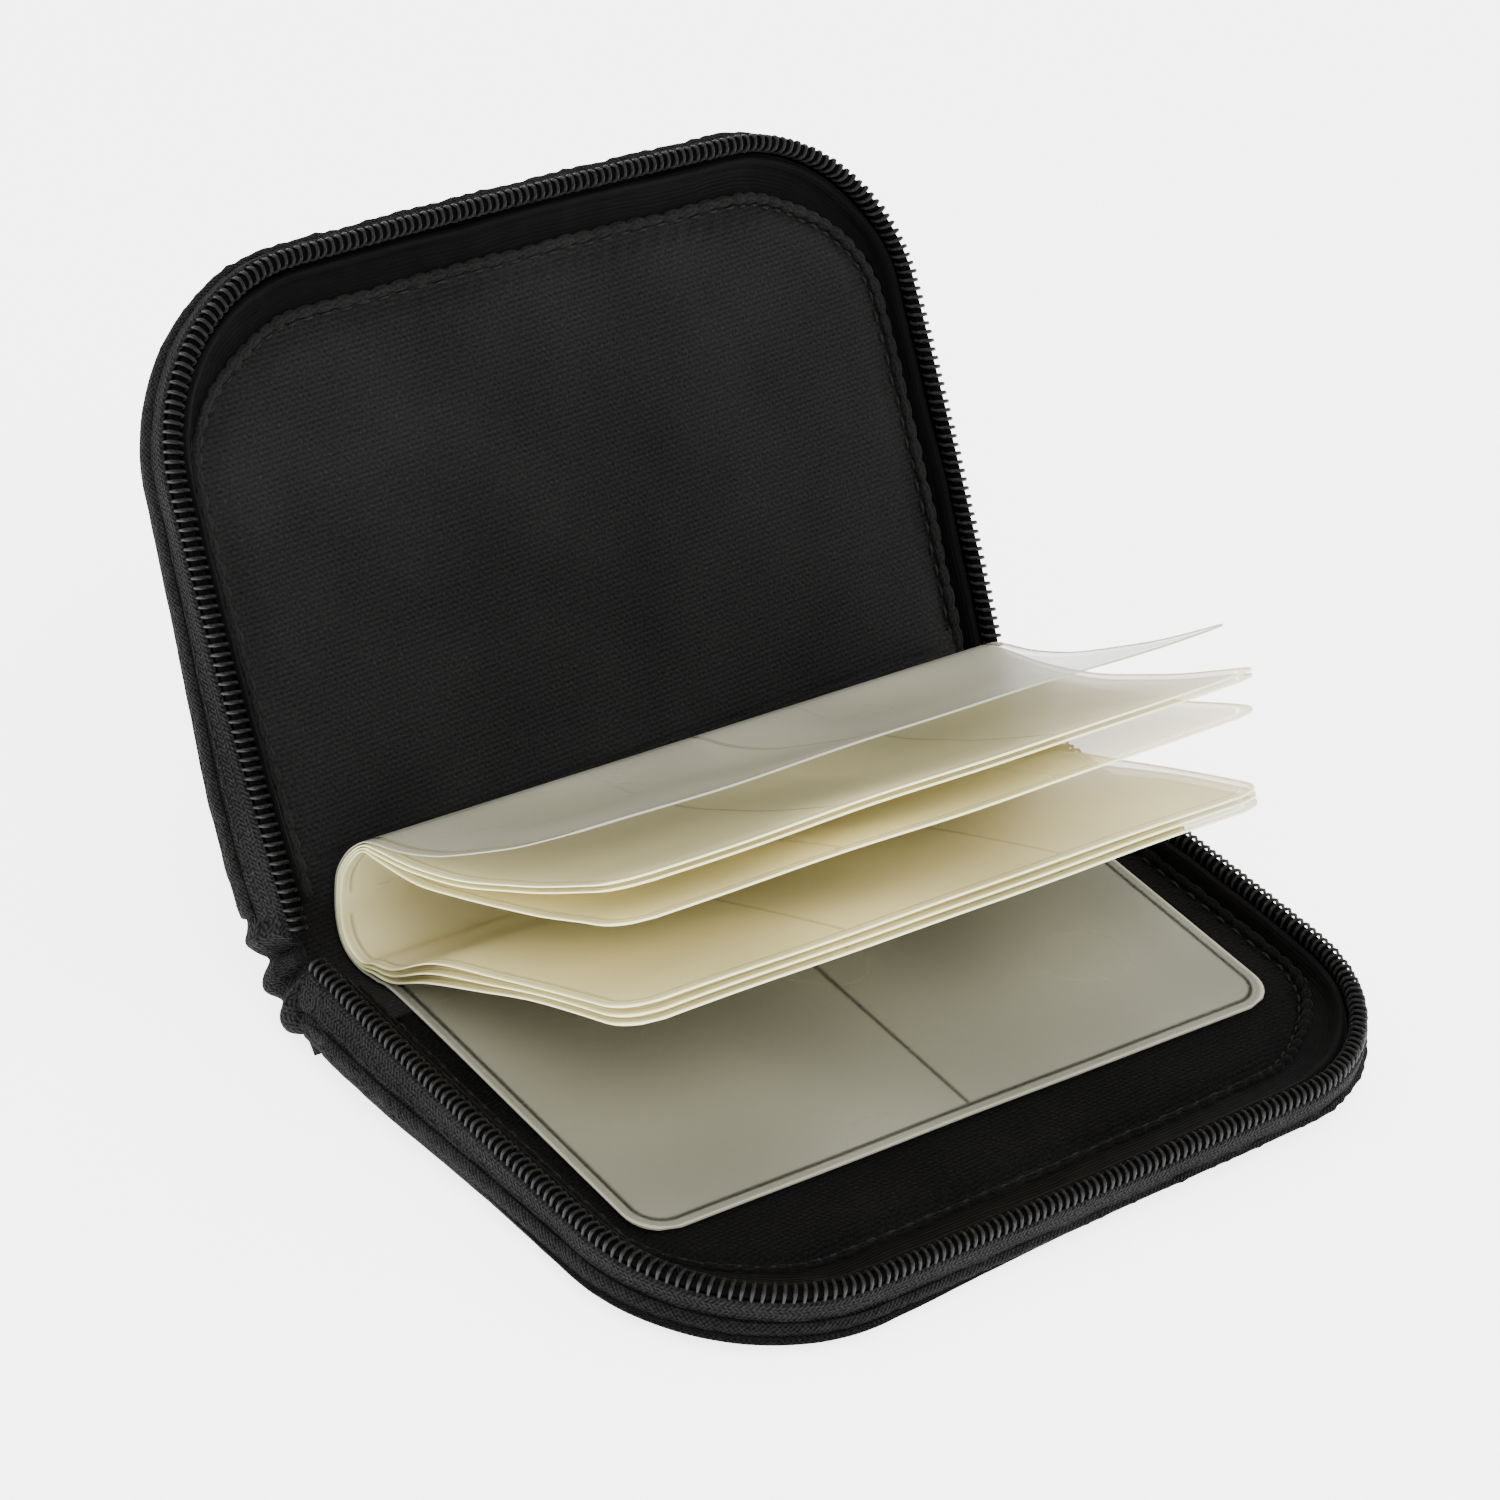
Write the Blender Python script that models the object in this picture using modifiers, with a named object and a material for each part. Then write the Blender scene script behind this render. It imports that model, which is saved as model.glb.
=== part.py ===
"""Zippered memory card case, standing open on its base, with four folded film page sheets.

Blender 4.5 source, in metres with +Z up. Sizes are named below in millimetres.

Each half is a padded tray. Its rim plane is where the two halves meet when the case is closed. A point
of a half is given by x along the spine, d from the hinge line towards the free edge, w above the rim
plane, and u outwards from the teeth line. Both halves are the same pieces, placed by an empty each.
"""

import math

import bmesh
import bpy
from mathutils import Vector

MM = 0.001

# Case, closed: two wedge-shaped halves, deeper at the spine than at the free edge
HALF_LENGTH = 58.35
RIM_DEPTH = 82.0
RIM_CORNER = 23.7
RIM_BOW = 1.0
HALF_AT_SPINE = 11.5
HALF_AT_FRONT = 7.0
OPEN_ANGLE = 124.0
HINGE_Y = 44.0
HINGE_Z = HALF_AT_SPINE
WEDGE = math.degrees(math.atan((HALF_AT_SPINE - HALF_AT_FRONT) / RIM_DEPTH))

# Fits
GAP = 0.3
HALF_MEETING_GAP = 0.2

# Shell
COVER_THICK = 0.7
COVER_BACK = 5.0
COVER_OUT = 1.5
COVER_LEAN = 0.1
COVER_TOP = -5.0
COVER_ROUND = 4.0

# Inside of a half
LINING_TOP = -4.0
LINING_THICK = 0.6
LINING_OUT = -0.6
LINING_BACK = 9.0
CORE_OUT_TOP = -1.2
CORE_OUT_BOTTOM = -3.4
PIPING_RADIUS = 0.5
PIPING_OUT = -5.3

# Zip
TAPE_THICK = 0.4
TAPE_TOP = -2.0
TAPE_BOTTOM = -5.2
TEETH_OUT = -0.3
TEETH_IN = -1.7
TEETH_BASE = -2.5
TEETH_PITCH = 1.2
TEETH_DIP = 0.9
LEFT_END = 1.5
BASE_RIGHT_END = 4.0
LID_RIGHT_END = 5.2

# Binding that covers the inner edge of the tape
BINDING_PROFILE = [(-0.3, -3.7), (-0.3, -2.9), (-1.9, -2.8), (-2.5, -2.3), (-3.7, -2.35), (-4.6, -3.0), (-4.6, -3.7)]
BINDING_BACK = 5.2

# Film pages, in section across the spine: y and z of each leaf from tip to root, or from root to tip
FILM_THICK = 0.25
FILM_PITCH = FILM_THICK + GAP
PAGE_END_MARGIN = 8.35
PAGE_HALF_LENGTH = HALF_LENGTH - PAGE_END_MARGIN
PAGE_CORNER = 5.0
PAGE_SHIFT = -0.3
PAGE_YAW = -1.5
FOLD = [(43.4, 6.5), (46.7, 7.5), (48.6, 10.1), (49.4, 14.1), (49.2, 17.6), (47.4, 21.2), (44.6, 24.2)]
FOLD_CENTRE = (41.0, 15.4)
LOWER_LEAVES = [
    [(-17.0, 4.7), (8.0, 6.1), (34.0, 7.5), (39.5, 6.95)],
    [(-10.1, 30.1), (7.1, 23.5), (18.7, 18.0), (29.2, 12.8), (36.0, 8.7), (40.2, 7.55)],
    [(-9.6, 31.0), (5.4, 25.2), (17.2, 19.9), (28.5, 14.6), (36.1, 9.6), (40.4, 8.15)],
    [(-9.1, 31.9), (3.7, 26.8), (15.8, 21.7), (27.9, 16.4), (36.2, 10.5), (40.6, 8.75)],
]
UPPER_LEAVES = [
    [(41.9, 25.6), (36.5, 27.5), (30.4, 30.4), (25.5, 33.3), (15.2, 40.1), (8.8, 44.8), (1.1, 50.7)],
    [(41.5, 24.95), (34.1, 26.8), (24.2, 30.5), (14.6, 35.4), (8.1, 39.0), (-0.7, 44.4), (-5.1, 47.2)],
    [(41.2, 24.35), (34.0, 26.1), (24.0, 29.8), (14.4, 34.7), (7.8, 38.3), (-1.0, 43.7), (-5.5, 46.5)],
    [(40.8, 23.7), (32.7, 25.1), (24.0, 28.3), (14.3, 32.3), (7.6, 35.2), (0.4, 38.7), (-6.6, 41.9)],
]
SHEET_NAMES = ["page_sheet_outer", "page_sheet_second", "page_sheet_third", "page_sheet_inner"]

# Spine, in section: from the base's back edge round to the lid's back edge
SPINE_HALF_LENGTH = HALF_LENGTH - 1.95
SPINE_THICK = 0.7
SPINE_PATH = [(39.9, 0.4), (44.5, 0.5), (48.4, 1.5), (50.0, 4.3), (50.9, 7.4), (52.9, 9.3), (55.7, 10.0)]
SPINE_LINING_THICK = 0.6
SPINE_LINING_HALF = HALF_LENGTH - 4.35
SPINE_LINING_PATH = [(35.4, 6.65), (39.0, 6.05), (43.4, 5.6), (47.3, 6.6), (49.5, 9.7), (50.4, 13.4), (52.1, 16.6)]

# Gathered tape ends at the two ends of the spine: inner and outer point of each fold of the fan
GUSSET_IN = SPINE_HALF_LENGTH + 0.4
GUSSET_OUT_LEFT = HALF_LENGTH + 1.95
GUSSET_OUT_RIGHT = HALF_LENGTH + 1.25
GUSSET_RELIEF = 1.1
GUSSET_FAN = [
    ((39.7, 5.7), (40.0, 0.5)),
    ((42.3, 5.5), (43.3, 0.5)),
    ((44.8, 5.5), (46.9, 0.9)),
    ((47.0, 6.2), (48.9, 2.6)),
    ((48.8, 7.6), (50.2, 5.0)),
    ((49.8, 9.1), (51.3, 7.2)),
    ((50.3, 10.9), (53.4, 8.8)),
    ((51.1, 12.6), (55.3, 10.0)),
]

# Stitched strip that holds the folds of the pages to the spine
STITCH_HALF_LENGTH = PAGE_HALF_LENGTH - 4.0
STITCH_WIDTH = 1.3
STITCH_THICK = 0.3

# Slider at the right end of the spine, centred on the hinge axis, and its pull
SLIDER_LENGTH = 7.0
SLIDER_WIDTH = 5.2
PLATE_THICK = 1.1
SLIDER_INNER_X = HALF_LENGTH - 0.95
SLIDER_OUTER_X = SLIDER_INNER_X + 3.0
SLIDER_POST_RADIUS = 0.9
BAIL_RISE = 1.9
BAIL_REACH = 2.6
BAIL_WIRE = 0.4
PULL_PIN_RADIUS = 0.4
PULL_LENGTH = 15.0
PULL_WIDTH = 5.2
PULL_THICK = 0.8
PULL_WINDOW = 2.8
PULL_WINDOW_LENGTH = 4.6

collection = bpy.data.collections.new("memory_card_case")


def clear_scene():
    """Removes the objects of the startup scene and links this object's collection."""
    for obj in list(bpy.data.objects):
        bpy.data.objects.remove(obj, do_unlink=True)
    bpy.context.scene.collection.children.link(collection)


def finish(name, colour, roughness, metallic=0.0, alpha=1.0):
    """A Principled material of one piece."""
    material = bpy.data.materials.new(name)
    material.use_nodes = True
    shader = material.node_tree.nodes["Principled BSDF"]
    shader.inputs["Base Color"].default_value = (*colour, 1.0)
    shader.inputs["Roughness"].default_value = roughness
    shader.inputs["Metallic"].default_value = metallic
    shader.inputs["Alpha"].default_value = alpha
    material.diffuse_color = (*colour, alpha)
    return material


def empty(name, location_mm=(0.0, 0.0, 0.0), rotation_deg=(0.0, 0.0, 0.0)):
    """A frame that pieces are placed on."""
    frame = bpy.data.objects.new(name, None)
    frame.location = Vector(location_mm) * MM
    frame.rotation_euler = [math.radians(a) for a in rotation_deg]
    collection.objects.link(frame)
    return frame


def mesh_piece(name, points_mm, faces, material, parent=None, smooth=True, closed=True):
    """A named mesh object from points in millimetres. A closed one gets its faces turned outwards."""
    mesh = bpy.data.meshes.new(name)
    mesh.from_pydata([Vector(p) * MM for p in points_mm], [], faces)
    if closed:
        shape = bmesh.new()
        shape.from_mesh(mesh)
        bmesh.ops.recalc_face_normals(shape, faces=shape.faces)
        shape.to_mesh(mesh)
        shape.free()
    mesh.materials.append(material)
    if smooth:
        mesh.shade_smooth()
        mesh.set_sharp_from_angle(angle=math.radians(35))
    obj = bpy.data.objects.new(name, mesh)
    obj.parent = parent
    collection.objects.link(obj)
    return obj


def thicken(obj, thickness, offset):
    """Gives an open surface its thickness."""
    solid = obj.modifiers.new("thickness", "SOLIDIFY")
    solid.thickness = thickness * MM
    solid.offset = offset
    solid.use_even_offset = True
    return obj


def join_solids(body, others):
    """Unions other pieces into the body and keeps them only as hidden operands."""
    for other in others:
        union = body.modifiers.new("join_" + other.name, "BOOLEAN")
        union.operation = "UNION"
        union.solver = "EXACT"
        union.object = other
        other.hide_render = True
        other.display_type = "WIRE"
    return body


def half_depth(d):
    """Distance from the rim plane to the outside of a half, at distance d from the hinge."""
    return HALF_AT_SPINE - (HALF_AT_SPINE - HALF_AT_FRONT) * d / RIM_DEPTH


SIDE = RIM_DEPTH - RIM_CORNER
CORNER_ARC = RIM_CORNER * math.pi / 2
FRONT = 2 * (HALF_LENGTH - RIM_CORNER)
PATH_LENGTH = 2 * SIDE + 2 * CORNER_ARC + FRONT


def rim_point(s):
    """Point (x, d) of the teeth line at length s from the left end of the hinge line."""
    mirrored = s > PATH_LENGTH / 2
    s = PATH_LENGTH - s if mirrored else s
    if s < SIDE:
        x, d = -HALF_LENGTH, s
    elif s < SIDE + CORNER_ARC:
        turn = (s - SIDE) / RIM_CORNER
        x = -HALF_LENGTH + RIM_CORNER * (1 - math.cos(turn))
        d = SIDE + RIM_CORNER * math.sin(turn)
    else:
        x, d = -HALF_LENGTH + RIM_CORNER + (s - SIDE - CORNER_ARC), RIM_DEPTH
    across = x / HALF_LENGTH
    along = d / RIM_DEPTH
    x += RIM_BOW * 4 * along * (1 - along) * across
    d += RIM_BOW * (1 - across * across) * along
    return (-x if mirrored else x), d


def rim_offset(s, u):
    """Point (x, d) at distance u outwards from the teeth line."""
    x, d = rim_point(s)
    before, after = rim_point(s - 0.05), rim_point(s + 0.05)
    along = Vector((after[0] - before[0], after[1] - before[1])).normalized()
    return x - along.y * u, d + along.x * u


def spread(start, end, parts):
    """Evenly spaced values from start to end, both included."""
    return [start + (end - start) * i / parts for i in range(parts + 1)]


def rim_stations(left_back, right_back, parts_side=6, parts_corner=8, parts_front=5):
    """Lengths along the teeth line at which a piece is sectioned, from its left end to its right end."""
    corner = SIDE + CORNER_ARC
    stations = spread(left_back, SIDE, parts_side)
    stations += spread(SIDE, corner, parts_corner)[1:]
    stations += spread(corner, corner + FRONT, parts_front)[1:]
    stations += spread(corner + FRONT, corner + FRONT + CORNER_ARC, parts_corner)[1:]
    stations += spread(PATH_LENGTH - SIDE, PATH_LENGTH - right_back, parts_side)[1:]
    return stations


def outline(u, back):
    """Outline of a flat piece in plan, closed by a straight back edge."""
    return [rim_offset(s, u) for s in rim_stations(back, back)]


def swept_piece(name, stations, section_at, material, parent):
    """A bar with end caps that follows the teeth line. section_at(i, s) gives its section as (u, w) points."""
    points, faces = [], []
    sides = 0
    for i, s in enumerate(stations):
        section = section_at(i, s)
        sides = len(section)
        for u, w in section:
            x, d = rim_offset(s, u)
            points.append((x, -d, w))
    for i in range(len(stations) - 1):
        for k in range(sides):
            a, b = i * sides + k, i * sides + (k + 1) % sides
            faces.append((a, b, b + sides, a + sides))
    faces.append(tuple(range(sides)))
    faces.append(tuple(range(len(points) - sides, len(points))))
    return mesh_piece(name, points, faces, material, parent)


def stacked_piece(name, loops, material, parent):
    """A flat piece from outlines stacked on each other. Each loop is (u, back, height), height a function of d."""
    points, faces = [], []
    for u, back, height in loops:
        points += [(x, -d, height(d)) for x, d in outline(u, back)]
    count = len(points) // len(loops)
    for level in range(len(loops) - 1):
        for k in range(count):
            a, b = level * count + k, level * count + (k + 1) % count
            faces.append((a, b, b + count, a + count))
    faces.append(tuple(range(count)))
    faces.append(tuple(range(len(points) - count, len(points))))
    return mesh_piece(name, points, faces, material, parent)


def make_cover(name, material, parent):
    """The outer fabric shell of a half: a wall that rounds under into a flat floor."""
    stations = rim_stations(COVER_BACK, COVER_BACK)
    steps = 5
    points = []
    for s in stations:
        d_here = rim_point(s)[1]
        foot_out = COVER_OUT - COVER_LEAN - COVER_ROUND
        foot_w = -half_depth(rim_offset(s, foot_out)[1])
        rise = min(COVER_ROUND, half_depth(d_here) + COVER_TOP - 0.3)
        section = [(COVER_OUT, COVER_TOP)]
        for k in range(steps + 1):
            turn = math.pi / 2 * k / steps
            section.append((foot_out + COVER_ROUND * math.cos(turn), foot_w + rise * (1 - math.sin(turn))))
        for u, w in section:
            x, d = rim_offset(s, u)
            points.append((x, -d, w))
    sides = steps + 2
    faces = []
    for i in range(len(stations) - 1):
        for k in range(sides - 1):
            a = i * sides + k
            faces.append((a, a + 1, a + 1 + sides, a + sides))
    faces.append(tuple(reversed(range(sides - 1, len(points), sides))))
    return thicken(mesh_piece(name, points, faces, material, parent, closed=False), COVER_THICK, -1.0)


def make_core(name, material, parent):
    """The foam wedge between the cover's floor and the lining."""
    top = LINING_TOP - LINING_THICK - GAP

    def bottom(d):
        return -half_depth(d) + COVER_THICK + GAP

    loops = [
        (CORE_OUT_BOTTOM, LINING_BACK, bottom),
        (CORE_OUT_TOP - 0.5, LINING_BACK, lambda d: bottom(d) * 0.55 + top * 0.45),
        (CORE_OUT_TOP, LINING_BACK, lambda d: top),
    ]
    return stacked_piece(name, loops, material, parent)


def make_lining(name, material, parent):
    """The fabric-faced panel that the pages lie on."""
    loops = [
        (LINING_OUT, LINING_BACK, lambda d: LINING_TOP - LINING_THICK),
        (LINING_OUT, LINING_BACK, lambda d: LINING_TOP),
    ]
    return stacked_piece(name, loops, material, parent)


def make_piping(name, material, parent):
    """The raised seam of the lining, a cord just inside the binding."""
    w_centre = LINING_TOP + PIPING_RADIUS + 0.2

    def section(i, s):
        turns = [math.radians(45 * k) for k in range(8)]
        return [(PIPING_OUT + PIPING_RADIUS * math.cos(t), w_centre + PIPING_RADIUS * math.sin(t)) for t in turns]

    return swept_piece(name, rim_stations(BINDING_BACK, BINDING_BACK), section, material, parent)


def make_binding(name, material, parent):
    """The satin binding between the tape and the lining's seam."""
    stations = rim_stations(BINDING_BACK, BINDING_BACK)
    return swept_piece(name, stations, lambda i, s: BINDING_PROFILE, material, parent)


def make_tape(name, ends, material, parent):
    """The woven zip tape of a half."""
    section = [(0.0, TAPE_BOTTOM), (TAPE_THICK, TAPE_BOTTOM), (TAPE_THICK, TAPE_TOP), (0.0, TAPE_TOP)]
    return swept_piece(name, rim_stations(*ends), lambda i, s: section, material, parent)


def make_teeth(name, ends, material, parent):
    """One row of coil teeth: a bar that rises and dips once a tooth."""
    length = PATH_LENGTH - ends[0] - ends[1]
    halves = 2 * round(length / TEETH_PITCH)
    crest = -HALF_MEETING_GAP

    def section(i, s):
        top = crest if i % 2 else crest - TEETH_DIP
        return [(TEETH_IN, TEETH_BASE), (TEETH_OUT, TEETH_BASE), (TEETH_OUT, top), (TEETH_IN, top)]

    return swept_piece(name, spread(ends[0], PATH_LENGTH - ends[1], halves), section, material, parent)


def make_half(prefix, zip_ends, frame, finishes):
    """All the pieces of one half of the case. zip_ends are the distances from the hinge at which its zip starts."""
    make_cover(prefix + "_cover", finishes["cover"], frame)
    make_core(prefix + "_core", finishes["core"], frame)
    make_lining(prefix + "_lining", finishes["lining"], frame)
    make_piping(prefix + "_piping", finishes["lining"], frame)
    make_binding(prefix + "_binding", finishes["binding"], frame)
    make_tape(prefix + "_zip_tape", zip_ends, finishes["tape"], frame)
    make_teeth(prefix + "_zip_teeth", zip_ends, finishes["teeth"], frame)


def smooth_curve(points, parts=6):
    """A smooth line through the given (y, z) points."""
    ends = [points[0]] + list(points) + [points[-1]]
    curve = []
    for i in range(len(points) - 1):
        p = [Vector(q) for q in ends[i:i + 4]]
        for k in range(parts):
            t = k / parts
            curve.append(
                0.5 * (2 * p[1] + (p[2] - p[0]) * t + (2 * p[0] - 5 * p[1] + 4 * p[2] - p[3]) * t * t
                       + (3 * p[1] - p[0] - 3 * p[2] + p[3]) * t ** 3)
            )
    curve.append(Vector(points[-1]))
    return curve


def resample(curve, lengths):
    """Points of the curve at the given lengths from its start."""
    found = []
    walked, i = 0.0, 0
    for wanted in lengths:
        while i < len(curve) - 2 and walked + (curve[i + 1] - curve[i]).length < wanted:
            walked += (curve[i + 1] - curve[i]).length
            i += 1
        step = curve[i + 1] - curve[i]
        found.append(curve[i] + step * ((wanted - walked) / step.length))
    return found


def strip_piece(name, curve, half_widths, thickness, material, parent=None):
    """A strip of fabric or film that follows a (y, z) curve, as wide at each point as half_widths says."""
    points, faces = [], []
    for (y, z), half in zip(curve, half_widths):
        points += [(-half, y, z), (half, y, z)]
    for i in range(len(curve) - 1):
        faces.append((2 * i, 2 * i + 1, 2 * i + 3, 2 * i + 2))
    return thicken(mesh_piece(name, points, faces, material, parent, closed=False), thickness, 0.0)


def make_sheet(index, material, parent):
    """One folded film sheet: a lower leaf, the fold at the spine and an upper leaf."""
    centre = Vector(FOLD_CENTRE)
    fold = [Vector(p) + (centre - Vector(p)).normalized() * FILM_PITCH * index for p in FOLD]
    curve = smooth_curve(LOWER_LEAVES[index] + [tuple(p) for p in fold] + UPPER_LEAVES[index])
    total = sum((b - a).length for a, b in zip(curve, curve[1:]))
    corner = [
        (PAGE_CORNER * (1 - math.cos(turn)), PAGE_HALF_LENGTH - PAGE_CORNER * (1 - math.sin(turn)))
        for turn in [math.pi / 2 * k / 4 for k in range(5)]
    ]
    middle = spread(PAGE_CORNER, total - PAGE_CORNER, round(total / 3.2))[1:-1]
    lengths = [t for t, half in corner] + middle + [total - t for t, half in reversed(corner)]
    widths = [half for t, half in corner] + [PAGE_HALF_LENGTH] * len(middle) + [h for t, h in reversed(corner)]
    return strip_piece(SHEET_NAMES[index], resample(curve, lengths), widths, FILM_THICK, material, parent)


def box_piece(name, low, high, material, parent=None, bevel=0.0):
    """A box between two corners, with its edges rounded by a bevel."""
    points = [(x, y, z) for x in (low[0], high[0]) for y in (low[1], high[1]) for z in (low[2], high[2])]
    faces = [(0, 1, 3, 2), (4, 6, 7, 5), (0, 4, 5, 1), (2, 3, 7, 6), (0, 2, 6, 4), (1, 5, 7, 3)]
    obj = mesh_piece(name, points, faces, material, parent)
    if bevel:
        round_edges = obj.modifiers.new("rounded", "BEVEL")
        round_edges.width = bevel * MM
        round_edges.segments = 2
        round_edges.limit_method = "ANGLE"
    return obj


def make_gusset(name, side, reach, material):
    """Gathered tape at one end of the spine: a fan of folds from the base round to the lid."""
    fan = []
    for (inner_a, outer_a), (inner_b, outer_b) in zip(GUSSET_FAN, GUSSET_FAN[1:]):
        fan.append((Vector(inner_a), Vector(outer_a), 0.0))
        fan.append(((Vector(inner_a) + Vector(inner_b)) / 2, (Vector(outer_a) + Vector(outer_b)) / 2, 1.0))
    fan.append((Vector(GUSSET_FAN[-1][0]), Vector(GUSSET_FAN[-1][1]), 0.0))
    points, faces = [], []
    levels = 4
    for inner, outer, valley in fan:
        for k in range(levels):
            share = k / (levels - 1)
            y, z = inner.lerp(outer, share)
            bulge = math.sin(math.pi * (0.25 + 0.5 * share))
            x = reach - 0.8 * (1 - bulge) - valley * GUSSET_RELIEF * bulge
            points.append((side * x, y, z))
        for point in (outer, inner):
            points.append((side * GUSSET_IN, point.x, point.y))
    sides = levels + 2
    for i in range(len(fan) - 1):
        for k in range(sides):
            a, b = i * sides + k, i * sides + (k + 1) % sides
            faces.append((a, b, b + sides, a + sides))
    faces.append(tuple(range(sides)))
    faces.append(tuple(range(len(points) - sides, len(points))))
    return mesh_piece(name, points, faces, material)


def round_bar(name, points, radius, material, parent=None):
    """A wire along straight runs between the given points, with filled ends."""
    curve = bpy.data.curves.new(name, "CURVE")
    curve.dimensions = "3D"
    curve.bevel_depth = radius * MM
    curve.bevel_resolution = 2
    curve.use_fill_caps = True
    line = curve.splines.new("POLY")
    line.points.add(len(points) - 1)
    for spot, point in zip(line.points, points):
        spot.co = (*(Vector(point) * MM), 1.0)
    drawn = bpy.data.objects.new(name + "_line", curve)
    collection.objects.link(drawn)
    bpy.context.view_layer.update()
    mesh = bpy.data.meshes.new_from_object(drawn.evaluated_get(bpy.context.evaluated_depsgraph_get()))
    bpy.data.objects.remove(drawn, do_unlink=True)
    shape = bmesh.new()
    shape.from_mesh(mesh)
    bmesh.ops.remove_doubles(shape, verts=shape.verts, dist=1e-6)
    bmesh.ops.recalc_face_normals(shape, faces=shape.faces)
    shape.to_mesh(mesh)
    shape.free()
    mesh.materials.clear()
    mesh.materials.append(material)
    mesh.shade_smooth()
    obj = bpy.data.objects.new(name, mesh)
    obj.parent = parent
    collection.objects.link(obj)
    return obj


def make_slider(frame, material):
    """The zip slider: two plates on a post, with a bail for the pull."""
    half_l, half_w = SLIDER_LENGTH / 2, SLIDER_WIDTH / 2
    outer_top = SLIDER_OUTER_X + PLATE_THICK
    body = box_piece("zip_slider", (SLIDER_OUTER_X, -half_l, -half_w), (outer_top, half_l, half_w), material, frame, 0.4)
    inner_top = SLIDER_INNER_X + PLATE_THICK
    inner = box_piece("slider_inner", (SLIDER_INNER_X, -half_l, -half_w), (inner_top, half_l, half_w), material, frame, 0.4)
    post = round_bar(
        "slider_post", [(SLIDER_INNER_X + 0.5, 0, 0), (SLIDER_OUTER_X + 0.5, 0, 0)], SLIDER_POST_RADIUS, material, frame
    )
    rise = outer_top + BAIL_RISE
    arch = [
        (outer_top - 0.5, -BAIL_REACH, 0), (rise - 0.7, -BAIL_REACH + 0.1, 0), (rise, -BAIL_REACH + 0.8, 0),
        (rise, BAIL_REACH - 0.8, 0), (rise - 0.7, BAIL_REACH - 0.1, 0), (outer_top - 0.5, BAIL_REACH, 0),
    ]
    bail = round_bar("slider_bail", arch, BAIL_WIRE, material, frame)
    join_solids(body, [inner, post, bail])


def make_pull(frame, material):
    """The pull: a flat tab with a window at its root, turning on a pin under the bail."""
    half_t, half_w = PULL_THICK / 2, PULL_WIDTH / 2
    tab = box_piece("zip_pull", (-half_t, -0.4, -half_w), (half_t, PULL_LENGTH, half_w), material, frame)
    window = box_piece(
        "pull_window", (-1.0, PULL_PIN_RADIUS, -PULL_WINDOW / 2), (1.0, PULL_WINDOW_LENGTH, PULL_WINDOW / 2), material, frame
    )
    cut = tab.modifiers.new("window", "BOOLEAN")
    cut.operation = "DIFFERENCE"
    cut.solver = "EXACT"
    cut.object = window
    window.hide_render = True
    window.display_type = "WIRE"
    soften = tab.modifiers.new("rounded", "BEVEL")
    soften.width = 0.25 * MM
    soften.segments = 2
    soften.limit_method = "ANGLE"


def main():
    """Builds every piece of the case."""
    clear_scene()
    finishes = {
        "cover": finish("cover_fabric", (0.022, 0.022, 0.024), 0.85),
        "lining": finish("lining_twill", (0.017, 0.017, 0.018), 0.9),
        "core": finish("foam_core", (0.03, 0.03, 0.03), 0.95),
        "binding": finish("satin_binding", (0.012, 0.012, 0.013), 0.5),
        "tape": finish("zip_tape", (0.045, 0.045, 0.047), 0.9),
        "teeth": finish("zip_coil", (0.13, 0.13, 0.135), 0.45),
        "film": finish("page_film", (0.45, 0.43, 0.35), 0.4, alpha=0.6),
        "thread": finish("thread", (0.02, 0.02, 0.02), 0.8),
        "metal": finish("slider_metal", (0.03, 0.03, 0.032), 0.35, metallic=0.6),
    }
    hinge = (0.0, HINGE_Y, HINGE_Z)
    base = empty("base_frame", hinge, (WEDGE, 0.0, 0.0))
    lid = empty("lid_frame", hinge, (OPEN_ANGLE - WEDGE - 180.0, 0.0, 180.0))
    make_half("base", (LEFT_END, BASE_RIGHT_END), base, finishes)
    make_half("lid", (LID_RIGHT_END, LEFT_END), lid, finishes)
    spine = smooth_curve(SPINE_PATH, 4)
    strip_piece("spine_cover", spine, [SPINE_HALF_LENGTH] * len(spine), SPINE_THICK, finishes["cover"])
    inside = smooth_curve(SPINE_LINING_PATH, 4)
    strip_piece("spine_lining", inside, [SPINE_LINING_HALF] * len(inside), SPINE_LINING_THICK, finishes["lining"])
    make_gusset("spine_end_left", -1.0, GUSSET_OUT_LEFT, finishes["tape"])
    make_gusset("spine_end_right", 1.0, GUSSET_OUT_RIGHT, finishes["tape"])
    pages = empty("pages_frame", (-PAGE_HALF_LENGTH, HINGE_Y, 0.0), (0.0, 0.0, PAGE_YAW))
    turned = empty("pages_origin", (PAGE_HALF_LENGTH + PAGE_SHIFT, -HINGE_Y, 0.0))
    turned.parent = pages
    for index in range(len(SHEET_NAMES)):
        make_sheet(index, finishes["film"], turned)
    stitch_y = max(y for y, z in FOLD) - 3 * FILM_PITCH - FILM_THICK / 2 - STITCH_THICK - 0.2
    stitch_z = 14.1
    box_piece(
        "page_stitching",
        (-STITCH_HALF_LENGTH, stitch_y, stitch_z - STITCH_WIDTH / 2),
        (STITCH_HALF_LENGTH, stitch_y + STITCH_THICK, stitch_z + STITCH_WIDTH / 2),
        finishes["thread"],
        turned,
    )
    slider = empty("slider_frame", hinge)
    make_slider(slider, finishes["metal"])
    pin_x = SLIDER_OUTER_X + PLATE_THICK + PULL_PIN_RADIUS + GAP
    pull = empty("pull_frame", (pin_x, HINGE_Y, HINGE_Z))
    make_pull(pull, finishes["metal"])


main()
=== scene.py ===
"""Dressed model of the zippered memory card case: fabric halves, coil zip and frosted film pages."""

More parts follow.
